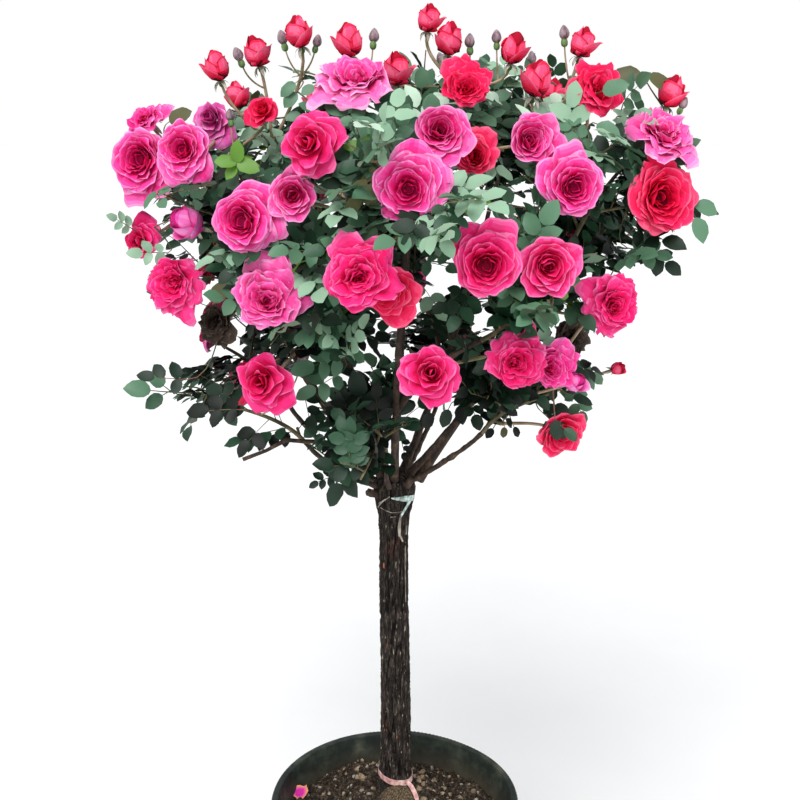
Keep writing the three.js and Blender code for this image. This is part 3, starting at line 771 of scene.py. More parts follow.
def join_parts(parts):
    """The points and faces of several closed parts as one."""
    points, faces = [], []
    for part_points, part_faces in parts:
        first = len(points)
        points += list(part_points)
        faces += [tuple(first + corner for corner in face) for face in part_faces]
    return points, faces


def wound(stops, widths, steps=16):
    """A strip round the trunk between stops of degrees and height."""
    shares = np.linspace(0, len(stops) - 1, steps)
    turns = np.interp(shares, range(len(stops)), [stop[0] for stop in stops])
    heights = np.interp(shares, range(len(stops)), [stop[1] for stop in stops])
    wide = np.interp(shares, np.linspace(0, len(stops) - 1, len(widths)), widths)
    return strip([on_trunk(turn, height) for turn, height in zip(turns, heights)], wide)


tape_finish = grained_finish(
    "clear_grafting_tape", ((0.36, 112, 128, 122), (0.5, 168, 190, 184), (0.64, 214, 232, 228)),
    180, 4, 0.0006, 0.35, 0.5,
)
tape = join_parts([
    wound([(262, 711), (300, 709), (334, 706)], (1.5, 8, 7)), wound([(318, 704), (292, 684)], (4.5, 3)),
])
worn_finish = grained_finish(
    "worn_grafting_tape", ((0.36, 84, 78, 72), (0.5, 132, 124, 114), (0.64, 180, 172, 160)),
    220, 4, 0.0005, 0.6, 0.3, (1, 1, 0.3),
)
worn = join_parts([
    wound([(214, 693), (236, 704), (258, 713)], (1.5, 1.2)), wound([(222, 700), (246, 709)], (0.9, 0.9)),
    wound([(226, 695), (262, 690), (304, 691)], (0.9, 0.9)), wound([(258, 683), (276, 684)], (1.2, 0.9), 6),
    wound([(292, 686), (289, 668), (292, 655)], (2.4, 4.5, 3)), wound([(294, 656), (306, 647)], (3, 2), 8),
    wound([(322, 668), (324, 655)], (2.5, 2.5), 8), wound([(318, 640), (320, 560)], (1.2, 0.8)),
])
place_on_plant(new_piece("grafting_tape", *tape, tape_finish, smooth=False))
place_on_plant(new_piece("worn_tape", *worn, worn_finish, smooth=False))

tie_finish = grained_finish(
    "flesh_pink_tie", ((0.34, 168, 118, 114), (0.5, 212, 164, 158), (0.66, 238, 208, 202)),
    120, 4, 0.0006, 0.5, 0.4,
)
hanging = [
    (Vector(place), Vector((0.35, -0.9, 0.25)).normalized())
    for place in ((17, 25, 293), (22, 20, 290), (26, 15, 285), (29, 11, 279), (31, 8, 273))
]
tie = join_parts([
    wound([(150, 299), (210, 299), (270, 294), (322, 290), (420, 291), (512, 297)], (9, 8, 9, 8, 9), 40),
    strip(hanging, (5, 6, 6, 6, 4)),
])
place_on_plant(new_piece("foot_tie", *tie, tie_finish, smooth=False))

# ---- Boughs ----
# Younger wood, smoother and greener toward the tips. One stands upright in the crest, five make
# the main fan, five leave those part of the way up, and five run out low from the graft union.

GAP = 0.3
CROWN_X, CROWN_Y, DEPTH_SHARE = 15, 45, 0.85
TIERS = [  # name, parent, tilt, girth, then bearing, reach, height and radius of each mass
    ("crest", None, 4, 6, [(60, 20, 1148, 108)]),
    ("shoulder", None, 42, 7.5, [
        (-18, 246, 1108, 132), (54, 222, 1112, 124), (126, 222, 1112, 124), (198, 226, 1108, 122),
        (270, 222, 1112, 124),
    ]),
    ("waist", "shoulder", 0, 5, [
        (14, 200, 985, 114), (90, 214, 985, 118), (164, 212, 980, 114), (234, 214, 985, 116),
        (306, 214, 985, 116),
    ]),
    ("skirt", None, 74, 4.6, [
        (160, 222, 862, 112), (207, 190, 828, 106), (254, 116, 808, 102), (322, 165, 844, 104),
        (66, 185, 858, 112),
    ]),
]
BOUGH_TIP, BOUGH_ENTRY, FORK_SHARE = 3.2, 0.55, 0.42
BOUGH_SIDES, BOUGH_STEPS = 14, 40
HEAD = Vector((TRUNK_X, TRUNK_Y, TRUNK_FOOT + 438))


class Path:
    """A straight or once-bent path, measured in shares of its own length."""

    def __init__(self, *points):
        self.points = [p.copy() for p in points]
        shares = [self.raw(k / 200) for k in range(201)]
        steps = [0] + [(b - a).length for a, b in zip(shares, shares[1:])]
        self.run = np.cumsum(steps)
        self.length = float(self.run[-1])

    def raw(self, t):
        if len(self.points) == 2:
            return self.points[0].lerp(self.points[1], t)
        start, bend, end = self.points
        return start * (1 - t) ** 2 + bend * (2 * t * (1 - t)) + end * t * t

    def place(self, share):
        return float(np.interp(share * self.length, self.run, np.linspace(0, 1, 201)))

    def at(self, share):
        return self.raw(self.place(share))

    def heading(self, share):
        t = self.place(share)
        return (self.raw(min(1, t + 0.0001)) - self.raw(max(0, t - 0.0001))).normalized()


class Mass:
    """A part of the crown with its own space, carried by its own bough."""


def away(bearing):
    angle = radians(bearing)
    return Vector((cos(angle), sin(angle), 0))


masses = []
for tier, parent_tier, tilt, girth, rows in TIERS:
    for number, (bearing, reach, height, radius) in enumerate(rows, 1):
        mass = Mass()
        mass.name, mass.number, mass.girth, mass.radius = f"{tier}_{number}", len(masses) + 1, girth, radius
        mass.bearing, mass.reach, mass.outward = bearing, reach, away(bearing)
        mass.middle = Vector((
            CROWN_X + reach * mass.outward.x, CROWN_Y + reach * DEPTH_SHARE * mass.outward.y, height,
        ))
        parent = next((m for m in masses if m.name == f"{parent_tier}_{number}"), None)
        root = parent.bough.at(FORK_SHARE) if parent else HEAD
        heading = (mass.middle - root).normalized()
        tip = mass.middle - heading * (BOUGH_ENTRY * radius)
        if parent:
            leaving = (parent.bough.heading(FORK_SHARE) + heading).normalized()
        else:
            leaving = (mass.outward * tan(radians(tilt)) + UP).normalized()
        mass.bough = Path(root, root + leaving * ((root - tip).length * 0.55), tip)
        masses.append(mass)


def tube(path_points, radii, sides, knots=0.0, seed=0, swell=()):
    """A closed round limb through points, its surface a little uneven."""
    points, faces, side_way = [], [], None
    for k, (centre, radius) in enumerate(zip(path_points, radii)):
        before, after = path_points[max(0, k - 1)], path_points[min(len(path_points) - 1, k + 1)]
        forward = (after - before).normalized()
        if side_way is None:
            side_way = forward.orthogonal().normalized()
        side_way = (side_way - forward * side_way.dot(forward)).normalized()
        over = forward.cross(side_way)
        share = k / (len(path_points) - 1)
        bulge = 1 + sum(size * exp(-((share - place) / 0.02) ** 2) for place, size in swell)
        for side in range(sides):
            angle = 2 * pi * side / sides
            way = side_way * cos(angle) + over * sin(angle)
            at = (centre + way * radius * 3) * 0.09 + Vector((seed, 0, 0))
            rough = knots * noise.fractal(at, 0.8, 2.1, 3)
            points.append(centre + way * (radius * bulge * (1 + rough)))
    return points + [path_points[0], path_points[-1]], closed_rings(len(path_points), sides)


def taper(start, end, steps, power=0.8):
    return [start + (end - start) * (k / steps) ** power for k in range(steps + 1)]


bough_parts = []
for mass in masses:
    arch = 11 if mass.name == "skirt_4" else 0  # this one runs out straighter than the rest
    spine = [
        mass.bough.at(k / BOUGH_STEPS) + Vector((-arch * 0.4, 0, arch)) * sin(pi * k / BOUGH_STEPS)
        for k in range(BOUGH_STEPS + 1)
    ]
    swell = [
        (0.15 + 0.7 * chance(mass.number * 5 + k), 0.12 + 0.2 * chance(mass.number * 9 + k)) for k in range(6)
    ]
    radii = taper(mass.girth * 0.86, BOUGH_TIP - 0.4, BOUGH_STEPS, 0.5)
    bough_parts.append(tube(spine, radii, BOUGH_SIDES, 0.28, mass.number, swell))
# A bare shoot that runs out low to the left and was cut at its end.
bare_shoot = [Vector(p) for p in (
    (-40, 16, 758), (-66, 0, 782), (-88, -20, 799), (-111, -30, 803), (-129, -40, 808), (-152, -50, 798),
    (-179, -60, 790),
)]
bough_parts.append(tube(bare_shoot, taper(3.4, 2.2, 6), BOUGH_SIDES, 0.3, 50))
# An old limb between the boughs on the right, that feeds the front of the crown.
old_limb = [Vector(p) for p in (
    (31, 44, 727), (46, 36, 756), (65, 28, 789), (84, 18, 822), (101, 10, 848), (116, 4, 870),
)]
bough_parts.append(tube(old_limb, taper(7.4, 3.6, 5), BOUGH_SIDES, 0.3, 60))
# Stubs of old shoots that were cut back at the graft union: start, end, radius.
for start, end, radius in (
    ((-12, 40, 706), (-34, 26, 716), 6.5),
    ((12, 34, 716), (22, 20, 738), 5.5),
    ((6, 60, 712), (16, 84, 726), 6),
):
    spine = [Vector(start).lerp(Vector(end), k / 6) for k in range(7)]
    bough_parts.append(tube(spine, taper(radius, radius * 0.75, 6), BOUGH_SIDES, 0.35, start[0]))
bough_finish = grained_finish(
    "young_bark", ((0.3, 30, 22, 19), (0.48, 58, 44, 36), (0.62, 86, 68, 54), (0.78, 118, 104, 84)),
    120, 6, 0.001, 0.75, 0.35, (1, 1, 0.5), 0.65,
)
boughs = new_piece("boughs", *join_parts(bough_parts), bough_finish)
place_on_plant(boughs, "bark", *[f"{mass.name}_bough" for mass in masses])

# ---- Crown wood ----
# A stem carries each bough on into its mass, twigs stand round it by the golden angle, and finer
# shoots leave the twigs. Flower stalks and leaf stalks grow from all of them.

GOLDEN = radians(137.5)
TWIGS_PER_MASS, TWIG_RADIUS, TWIG_TIP = 6, 2.0, 1.3
TWIG_PITCH, TWIG_LIFT, TWIG_SWINGS = radians(62), 0.15, (0, 30, -30, 60, -60)
TWIG_LENGTH, TWIG_SHORTEST = 0.74, 0.3
SPACE_SHARE = 1.2
SHOOT_RADIUS, SHOOT_TIP = 1.1, 0.7
SHOOTS_PER_TWIG = 3

built_crown = {}
for mass in masses:
    cad_mesh = frame["nodes"][f"{mass.name}_foliage"].data
    corners = [v.co / MM for v in cad_mesh.vertices]
    built_crown[mass.name] = BVHTree.FromPolygons(corners, [tuple(p.vertices) for p in cad_mesh.polygons])


def lies_on(mass, point, reach):
    """True if the mass's solid has its surface within reach of the point."""
    found = built_crown[mass.name].find_nearest(point, reach)
    return found[0] is not None


def in_own_space(mass, point):
    if (point - mass.middle).length > mass.radius * SPACE_SHARE:
        return False
    own = (point - mass.middle).length_squared
    return all(
        other is mass
        or ((point - other.middle).length_squared - own) / (2 * (other.middle - mass.middle).length) > GAP
        for other in masses
    )


def turned_round(way, axis, angle):
    return Quaternion(axis, angle) @ way


def twig_ways(mass, k):
    """The ways that a twig could run, best first."""
    share = 0.08 + 0.9 * k / (TWIGS_PER_MASS - 1)
    root, forward = mass.stem.at(share), mass.stem.heading(share)
    side = forward.cross(UP).normalized()
    over = side.cross(forward)
    longest = mass.radius * TWIG_LENGTH * (0.8 + 0.4 * chance(mass.number * 31 + k))
    for swing in TWIG_SWINGS:
        turn = k * GOLDEN + mass.number + radians(swing)
        direction = (
            forward * cos(TWIG_PITCH)
            + side * (cos(turn) * sin(TWIG_PITCH))
            + over * (sin(turn) * sin(TWIG_PITCH))
            + UP * TWIG_LIFT
        ).normalized()
        length = longest
        while length > mass.radius * TWIG_SHORTEST:
            if in_own_space(mass, root + direction * length):
                yield Path(root, root + direction * length)
                break
            length *= 0.85


wood = []  # every limb of the crown as (path, points, radii)


def grow(path, start, end, steps=5, bow=0.0, seed=0):
    """Adds a limb along a path, bowed a little to one side."""
    side = path.heading(0.5).cross(Vector((0.3, 0.2, 0.9))).normalized()
    side = turned_round(side, path.heading(0.5), 6.28 * chance(seed + 0.5))
    points = [
        path.at(k / steps) + side * (bow * path.length * sin(pi * k / steps))
        for k in range(steps + 1)
    ]
    wood.append((path, points, taper(start, end, steps, 1)))


for mass in masses:
    heading = mass.bough.heading(1)
    start = mass.bough.at(1) + heading * (1.5 * GAP)
    along = mass.middle - start
    mass.stem = Path(start, start + heading * (along.length * 0.6), mass.middle + along * 0.55)
    grow(mass.stem, BOUGH_TIP, TWIG_RADIUS, 10)
    mass.twigs = []
    for k in range(TWIGS_PER_MASS):
        for way in twig_ways(mass, k):
            if all(lies_on(mass, way.at(share), 2.2) for share in (0.35, 0.7, 1)):
                mass.twigs.append(way)
                grow(way, TWIG_RADIUS, TWIG_TIP, 6, 0.02, mass.number * 11 + k)
                break
    mass.shoots = []
    for k, twig in enumerate(mass.twigs):
        for j in range(SHOOTS_PER_TWIG):
            seed = mass.number * 97 + k * 13 + j
            share = 0.22 + 0.26 * j + 0.12 * chance(seed)
            forward = twig.heading(share)
            side = turned_round(forward.cross(UP).normalized(), forward, 6.28 * chance(seed + 5))
            direction = (forward * 0.6 + side * 0.8 + UP * 0.15).normalized()
            length = twig.length * (0.45 + 0.3 * chance(seed + 9))
            while length > 14:
                if in_own_space(mass, twig.at(share) + direction * length * 1.15):
                    shoot = Path(twig.at(share), twig.at(share) + direction * length)
                    shoot.twig, shoot.leaves_at = twig, share
                    mass.shoots.append(shoot)
                    grow(shoot, SHOOT_RADIUS, SHOOT_TIP, 4, 0.05, seed)
                    break
                length *= 0.8

# ---- Places of the roses, and their stalks ----
# Open roses stand all over the crown and face the light; half-open ones stand above it on long
# stalks. Each hangs on the nearest stem or twig of its mass.

OPEN_FLOWERS = [  # x, y, height, width, tilt above level, way of the loose petals from up, colour, form
    (-45, -90, 1212, 84, 50, 180, "pale", "ruffled"), (-295, 0, 1130, 80, 10, 165, "pink", "full"),
    (-230, -60, 1150, 66, 15, 190, "pink", "full"), (-290, 45, 1185, 48, 55, 0, "pink", "ruffled"),
    (-145, -40, 1190, 48, 40, 300, "red", "pointed"), (-80, -170, 1162, 72, 20, 40, "hot", "pointed"),
    (50, -150, 1178, 64, 30, 130, "pink", "cupped"), (92, -115, 1158, 54, 10, 60, "red", "cupped"),
    (20, -215, 1134, 79, 5, 60, "pink", "full"), (148, -120, 1168, 61, 15, 60, "pink", "cupped"),
    (184, -150, 1126, 80, 8, 330, "pink", "full"), (305, -20, 1160, 83, 40, 210, "pale", "ruffled"),
    (304, -50, 1094, 88, 8, 320, "red", "full"), (78, -60, 1222, 58, 35, 20, "red", "ruffled"),
    (228, -40, 1213, 62, 35, 340, "red", "ruffled"), (-302, 20, 1044, 50, -5, 60, "hot", "pointed"),
    (-158, -140, 1090, 79, 5, 70, "pink", "full"), (-104, -145, 1116, 56, 15, 320, "pink", "cupped"),
    (-256, -30, 991, 75, -5, 110, "hot", "ruffled"), (-132, -150, 1010, 76, 20, 50, "pale", "ruffled"),
    (-32, -225, 1048, 84, 10, 50, "hot", "ruffled"), (4, -190, 1005, 62, -20, 100, "red", "cupped"),
    (96, -220, 1054, 76, 5, 0, "hot", "full"), (160, -180, 1042, 71, 10, 20, "hot", "cupped"),
    (244, -80, 984, 72, 5, 250, "hot", "ruffled"), (-145, -110, 899, 74, 15, 180, "hot", "pointed"),
    (38, -190, 930, 70, 15, 140, "hot", "pointed"), (131, -150, 932, 68, 10, 330, "hot", "ruffled"),
    (178, -118, 921, 56, 10, 90, "pink", "ruffled"), (198, -60, 819, 58, -30, 0, "red", "cupped"),
]
HALF_OPEN_FLOWERS = [  # x, y, height, width, side of its loose petal, colour
    (-203, 20, 1238, 40, -1, "scarlet"), (-157, 20, 1254, 40, 1, "scarlet"),
    (-107, 0, 1275, 40, 1, "scarlet"), (-50, -20, 1266, 43, -1, "scarlet"),
    (40, 20, 1290, 36, 1, "scarlet"), (63, 0, 1268, 42, -1, "scarlet"), (135, 0, 1257, 40, 1, "scarlet"),
    (212, 0, 1264, 38, 1, "scarlet"), (319, 20, 1210, 42, 1, "scarlet"),
    (156, -50, 1226, 46, -1, "scarlet"), (10, -40, 1230, 42, 1, "scarlet"),
    (-233, -60, 1071, 48, 1, "rosy"), (271, 0, 886, 22, 1, "scarlet"), (205, -100, 897, 30, 1, "rosy"),
]
OPEN_TOP, HALF_OPEN_TOP = 0.36, 0.75  # heights over the rose's middle, in halves of its width
OPEN_BACK, HALF_OPEN_BACK = -0.3, -0.9
BACK_WIDTHS, BACK_PLACE, BACK_TURN, BACK_TILT = (62, 82), 0.88, radians(30), 18
STALK_RADIUS, STALK_TIP = 2.2, 1.8
FLOWER_STEP, FLOWER_STEPS = 10, 8
TURN_TO_FRONT, SAUCER_TURN = Vector((0, -0.8, 0.08)), Vector((0, -0.15, 0.45))
EYE = Vector((7, -1401.7, 1261.5))  # someone who stands in front of the rose
CLEAR_AHEAD, CLEAR_IN_VIEW = 75, 190  # no leaves so far before a rose, on its own way and on the eye's
# Low side flowers behind the middle sit a little further in, by a share of their reach, and back.
SIDE_ROSE_REACH, SIDE_ROSE_HEIGHT, SIDE_ROSE_IN, SIDE_ROSE_BACK = 190, 1050, 0.16, 30
BACK_STALKS, BACK_STALK_DROP = 120, 38  # half-open ones this far back sit lower among the leaves
SAUCER_HEIGHT, SAUCER_RISE, SAUCER_OUT = 1130, 15, 7  # pale ones above this open flat as saucers
RIGHT_EDGE, RIGHT_EDGE_OUT = 290, 5
# Where growth has pushed open roses a little aside, and how large they are against their neighbours:
# the rose's number, right, up, size.
SET_ASIDE = {
    1: (0, 7, 1.0), 2: (-4, 0, 1.06), 3: (-3, 0, 1.08), 4: (-5, -6, 1.12), 6: (-5, 0, 1.1),
    7: (-2, -3, 1.04), 8: (-8, -6, 1.0), 9: (-6, -5, 0.97), 10: (0, -4, 1.0), 11: (5, -2, 0.9),
    12: (0, -4, 1.08), 15: (0, 0, 1.1), 16: (0, -5, 1.1), 17: (0, -7, 0.97), 18: (0, -8, 1.0),
    19: (-6, 0, 1.0), 20: (-3, -2, 1.14), 21: (-7, -8, 0.98), 22: (-9, 9, 1.0), 24: (0, -5, 0.97),
    25: (6, 0, 1.0), 26: (0, 5, 1.12), 27: (-4, 2, 1.12), 28: (7, 1, 1.0), 30: (0, -3, 1.05),
    41: (-7, 6, 1.0), 57: (-42, 4, 1.0),
}


class Rose:
    """One flower: its middle, half its width, the way it faces, its colour and its form."""

    def __init__(self, place, width, tilt, colour, form, side=1):
        self.place, self.half, self.colour, self.form = Vector(place), width / 2, colour, form
        self.side, self.way = side, radians(180)
        self.is_open = form != "half open"
        self.number = len(roses) + 1
        out = Vector((self.place.x - CROWN_X, self.place.y - CROWN_Y, 0)).normalized()
        if self.place.y < CROWN_Y:
            out.y -= 0.9
        out.normalize()
        self.facing = out * cos(radians(tilt)) + UP * sin(radians(tilt))
        roses.append(self)


roses = []
for x, y, height, width, tilt, way, colour, form in OPEN_FLOWERS:
    Rose((x, y, height), width, tilt, colour, form).way = radians(way)
stalked = [((x, y, height), width, side, colour) for x, y, height, width, side, colour in HALF_OPEN_FLOWERS]
stalked += [
    ((-200 + 100 * k, 150 + 40 * chance(k + 5), 1225 + 40 * chance(k + 50)), 40, 1 - 2 * (k % 2), "scarlet")
    for k in range(5)
]
for place, width, side, colour in stalked:
    Rose(place, width, 72 if place[2] > TIERS[0][4][0][2] else 25, colour, "half open", side)
for mass in masses:
    if not (0 < mass.bearing < 170 and mass.reach > 100):
        continue
    for k in range(2):
        draw = chance(mass.number * 3 + k)
        swing = turned_round(mass.outward, UP, BACK_TURN if k == 0 else -BACK_TURN)
        rise = mass.radius * (0.35 if k == 0 else -0.3) * (0.6 + draw)
        place = mass.middle + swing * (mass.radius * BACK_PLACE) + UP * rise
        width = BACK_WIDTHS[0] + (BACK_WIDTHS[1] - BACK_WIDTHS[0]) * draw
        colour = ("pink", "hot", "pink", "pale", "red")[(mass.number + 2 * k) % 5]
        form = ("full", "ruffled", "cupped", "pointed")[(mass.number + 3 * k) % 4]
        Rose(place, width, BACK_TILT, colour, form)

built_roses = len(roses)
# A last flower that hides behind a pair, and two painted near-black grey-brown.
Rose((-212, 20, 1176), 62, 30, "magenta", "pointed")
Rose((-216, 10, 938), 52, 0, "spent", "ruffled")
Rose((213, -10, 927), 54, -5, "spent", "ruffled")
for rose in roses:
    rose.mass = min(masses, key=lambda m: (m.middle - rose.place).length)
    top = rose.half * (OPEN_TOP if rose.is_open else HALF_OPEN_TOP)
    if rose.number <= built_roses:
        for _ in range(FLOWER_STEPS):
            if lies_on(rose.mass, rose.place + rose.facing * top, 0.6):
                break
            rose.place -= rose.facing * FLOWER_STEP
    at_side = abs(rose.place.x - CROWN_X) > SIDE_ROSE_REACH
    if at_side and rose.place.y > CROWN_Y and rose.place.z < SIDE_ROSE_HEIGHT:
        rose.place.x += (CROWN_X - rose.place.x) * SIDE_ROSE_IN
        rose.place.y += SIDE_ROSE_BACK
    if not rose.is_open and rose.place.y > BACK_STALKS:
        rose.place.z -= BACK_STALK_DROP
    if rose.colour == "pale" and rose.place.z > SAUCER_HEIGHT:
        rose.facing = (rose.facing + SAUCER_TURN).normalized()
        rose.place.z += SAUCER_RISE
        rose.place.x += SAUCER_OUT * (rose.place.x > CROWN_X)
    elif rose.is_open and rose.place.y < CROWN_Y + 5:
        rose.facing = (rose.facing + TURN_TO_FRONT).normalized()
        if rose.place.x > RIGHT_EDGE:
            rose.place.x += RIGHT_EDGE_OUT
    aside, raised, size = SET_ASIDE.get(rose.number, (0, 0, 1))
    rose.place += Vector((aside, 0, raised))
    rose.half *= size


def hides_a_rose(point, margin=0.92):
    """True if a leaf here would stand inside a rose, close before it or in the way of its sight."""
    for rose in roses:
        apart = point - rose.place
        ahead = apart.dot(rose.facing)
        aside = (apart - rose.facing * ahead).length
        if rose.is_open and -0.4 * rose.half < ahead < CLEAR_AHEAD and aside < rose.half * margin:
            return True
        if not rose.is_open and abs(ahead) < rose.half * 1.1 and aside < rose.half * 0.9:
            return True
        to_eye = (EYE - rose.place).normalized()
        forward = apart.dot(to_eye)
        beside = (apart - to_eye * forward).length
        if rose.place.y < CROWN_Y and 0 < forward < CLEAR_IN_VIEW and beside < rose.half * margin:
            return True
    return False


# Gaps in the crown, as they are seen from in front at its middle depth: x, height, half width and
# half height.
GAPS = [
    (-262, 915, 75, 34), (-262, 734, 90, 46), (-150, 745, 46, 28), (-40, 662, 80, 34), (290, 812, 40, 58),
    (206, 712, 90, 36), (150, 762, 40, 26), (345, 905, 48, 66), (398, 1135, 40, 55), (-328, 1168, 30, 50),
    (-292, 1228, 46, 34), (-60, 1240, 40, 22), (-330, 800, 60, 60), (70, 745, 34, 40), (2, 763, 9, 25),
    (3, 810, 11, 15), (34, 790, 10, 41), (58, 795, 8, 18), (17, 709, 31, 18), (-124, 817, 23, 15),
    (-157, 801, 33, 15), (-145, 758, 34, 18), (102, 779, 20, 13), (144, 771, 48, 28), (170, 809, 16, 25),
    (-212, 895, 27, 11), (162, 806, 13, 15), (-184, 827, 15, 15), (-127, 1206, 18, 15), (-168, 1219, 16, 10),
    (-20, 1180, 12, 8), (5, 1160, 9, 7), (111, 935, 11, 22), (58, 980, 14, 13), (144, 1075, 10, 6),
    (259, 1113, 8, 11), (216, 1039, 7, 7), (233, 985, 12, 11), (208, 832, 11, 10), (-54, 766, 6, 8),
    (-28, 809, 6, 8), (-208, 960, 10, 10), (-209, 1003, 9, 12), (-228, 1111, 13, 7), (-292, 1069, 14, 13),
    (-132, 1183, 11, 13), (-151, 1218, 10, 10), (-206, 1147, 9, 8), (-160, 1140, 9, 9),
]
TOP_LEAVES, HIGHEST_LEAF, HIGH_AT_BACK = 1185, 1232, 1120  # above these there are fewer leaves


def in_a_gap(point):
    seen = EYE + (point - EYE) * ((CROWN_Y - EYE.y) / (point.y - EYE.y))
    return any(((seen.x - x) / wide) ** 2 + ((seen.z - z) / high) ** 2 < 1 for x, z, wide, high in GAPS)


# Twigs end before they would cross a flower or a gap, and what they carry past that goes too.
kept_share = {}
cut_wood = []
for path, points, radii in wood:
    last = len(points) - 1
    if not any(path is mass.stem for mass in masses):
        crossing = (j for j, point in enumerate(points) if hides_a_rose(point, 0.8) or in_a_gap(point))
        last = next(crossing, len(points)) - 1
    kept_share[path] = max(0, last) / (len(points) - 1)
    if last > 0:
        cut_wood.append((path, points[:last + 1], radii[:last + 1]))
for mass in masses:
    mass.shoots = [shoot for shoot in mass.shoots if shoot.leaves_at <= kept_share[shoot.twig]]
grown_shoots = {shoot for mass in masses for shoot in mass.shoots}
wood = [
    (points, radii) for path, points, radii in cut_wood if not hasattr(path, "twig") or path in grown_shoots
]

rose_stalks = []  # as (points, radii)
for rose in roses:
    back = rose.half * (OPEN_BACK if rose.is_open else HALF_OPEN_BACK)
    end = rose.place + rose.facing * back
    starts = [rose.mass.stem.at(k / 8) for k in range(1, 8)]
    starts += [twig.at(kept_share[twig] * k / 8) for twig in rose.mass.twigs for k in range(1, 8)]
    start = min(starts, key=lambda p: (p - end).length + 1.5 * max(0, p.z + 20 - end.z))
    rose.stalk = Path(start, end - rose.facing * min(34, (end - start).length * 0.45), end - rose.facing * 4)
    kept_share[rose.stalk] = 1
    spine = [rose.stalk.at(k / 10) for k in range(11)]
    rose_stalks.append((spine, taper(STALK_RADIUS, STALK_TIP, 10)))

# ---- Leaves ----
# Each leaf is a spray of five or seven rounded leaflets, folded a little along the midrib. The
# youngest are yellow-green; the rest are blue-green, painted darker as shade deep in the crown and
# paler as painted light on its top and outside.

LEAF_LENGTH, LEAF_WIDTH, LEAF_WIDEST = 80, 54, 0.45
LEAF_SHARES, LEAF_TURNS = (0.3, 0.55, 0.8, 1), (0, 50, -50, 100, -100, 150, -150, 180)
LEAFLET_ROWS = (0, 0.1, 0.28, 0.5, 0.72, 0.89, 1)
LEAFLET_HALVES = (0, 0.18, 0.305, 0.345, 0.30, 0.18, 0)
RACHIS_SHARE, RACHIS_RADIUS, RACHIS_TIP = 0.66, 0.7, 0.4
# The tones from shade to mint are one leaf green with painted shade and painted light; young and olive are
# colours of their own.
LEAF_TONES = {  # name: (colour, roughness)
    "shade": ((7, 20, 11), 0.55), "deep": ((18, 44, 28), 0.5), "mid": ((42, 79, 55), 0.45),
    "sage": ((86, 126, 97), 0.42), "pale": ((144, 180, 151), 0.4), "mint": ((194, 221, 198), 0.4),
    "young": ((92, 138, 44), 0.42), "olive": ((84, 84, 50), 0.5),
}


def leaflet(seed):
    """A leaflet one unit long that lies along +X, its upper side up."""
    fold, curl = 0.16 + 0.22 * chance(seed), 0.05 + 0.22 * chance(seed + 7)
    slim = 0.9 + 0.2 * chance(seed + 3)
    points = [(0, 0, 0)]
    for k, (along, half) in enumerate(zip(LEAFLET_ROWS[1:-1], LEAFLET_HALVES[1:-1])):
        half *= slim * (1.03 if k % 2 else 0.97)
        sink = -curl * along * along
        wave = 0.035 * sin(along * 8 + seed)
        edge = sink + fold * half
        points += [(along - 0.03, half, edge + wave), (along, 0, sink), (along - 0.03, -half, edge - wave)]
    points.append((1, 0, -curl))
    rows = len(LEAFLET_ROWS) - 2
    faces = [(0, 2, 1), (0, 3, 2)]
    for k in range(rows - 1):
        left, middle, right = 1 + 3 * k, 2 + 3 * k, 3 + 3 * k
        faces += [(middle, middle + 3, left + 3, left), (right, right + 3, middle + 3, middle)]
    end = 3 * rows + 1
    faces += [(end - 2, end, end - 3), (end - 1, end, end - 2)]
    return points, faces, [0] * len(faces)


leaf_spots = {tone: [] for tone in LEAF_TONES}
leaf_stalks = []  # as (points, radii)


def tone_of(place, mass, seed):
    """A spray's colour: painted light paler outside and on top, painted shade darker inside, below, at the
    back.
    """
    light = 0.45 * (place - mass.middle).length / mass.radius - 0.07
    light += 0.30 * smooth(place.z, 800, 1230) + 0.16 * smooth(-place.y, -120, 200)
    light += 0.62 * (chance(seed) - 0.5)
    if place.z > 1120 and chance(seed + 0.7) > 0.93:
        return "olive" if chance(seed + 0.3) > 0.4 else "young"
    if chance(seed + 0.9) > 0.985:
        return "young"
    # The lightest tone allowed, as painted light, rises with the height in the crown.
    lightest = 2 + (place.z > 820) + (place.z > 880) + (place.z > 1080)
    return ("shade", "deep", "mid", "sage", "pale", "mint")[min(lightest, max(0, int(light * 6.0)))]


def add_leaf(mass, root, direction, facing, length, seed):
    """One spray of leaflets on its own stalk."""
    across = facing.cross(direction).normalized()
    normal = direction.cross(across)
    tone = tone_of(root, mass, seed)
    arch = 0.03 + 0.06 * chance(seed + 1.5)
    reach = length * RACHIS_SHARE
    stalk = [
        root + direction * (reach * s) + normal * (length * arch * sin(pi * s * 0.8))
        for s in (0, 0.25, 0.5, 0.75, 1)
    ]
    if length > 62:
        tip, pairs = 0.34, ((0.78, 60, 0.33), (0.48, 68, 0.32), (0.18, 74, 0.27))
    else:
        tip, pairs = 0.44, ((0.70, 60, 0.42), (0.24, 70, 0.37))
    spots = []
    for number, (share, angle, size) in enumerate([(1, 0, tip), *pairs]):
        for sign in ((0,) if angle == 0 else (1, -1)):
            key = seed * 7 + number * 3 + sign
            turn = radians(angle + 16 * (chance(key) - 0.5)) * (sign or 1)
            if sign == 0:
                turn = radians(24 * (chance(key) - 0.5))
            way = turned_round(direction, normal, turn) + normal * (0.35 * (chance(key + 1) - 0.6))
            up = normal + across * (0.35 * (chance(key + 2) - 0.5) - 0.15 * sign)
            up += direction * (0.4 * (chance(key + 4) - 0.5))
            place = stalk[4] if sign == 0 else root.lerp(stalk[4], share) + normal * (length * arch * 0.8)
            long = length * size * (0.85 + 0.3 * chance(key + 3))
            if not in_a_gap(place + way * (long * 0.6)):
                spots.append((place, turned_to(way, up), (long, long, long), int(6 * chance(key + 5))))
    if len(spots) > 2 and spots[0][0] is stalk[4]:
        leaf_spots[tone] += spots
        leaf_stalks.append((stalk, taper(RACHIS_RADIUS, RACHIS_TIP, 4)))
        return True
    return False


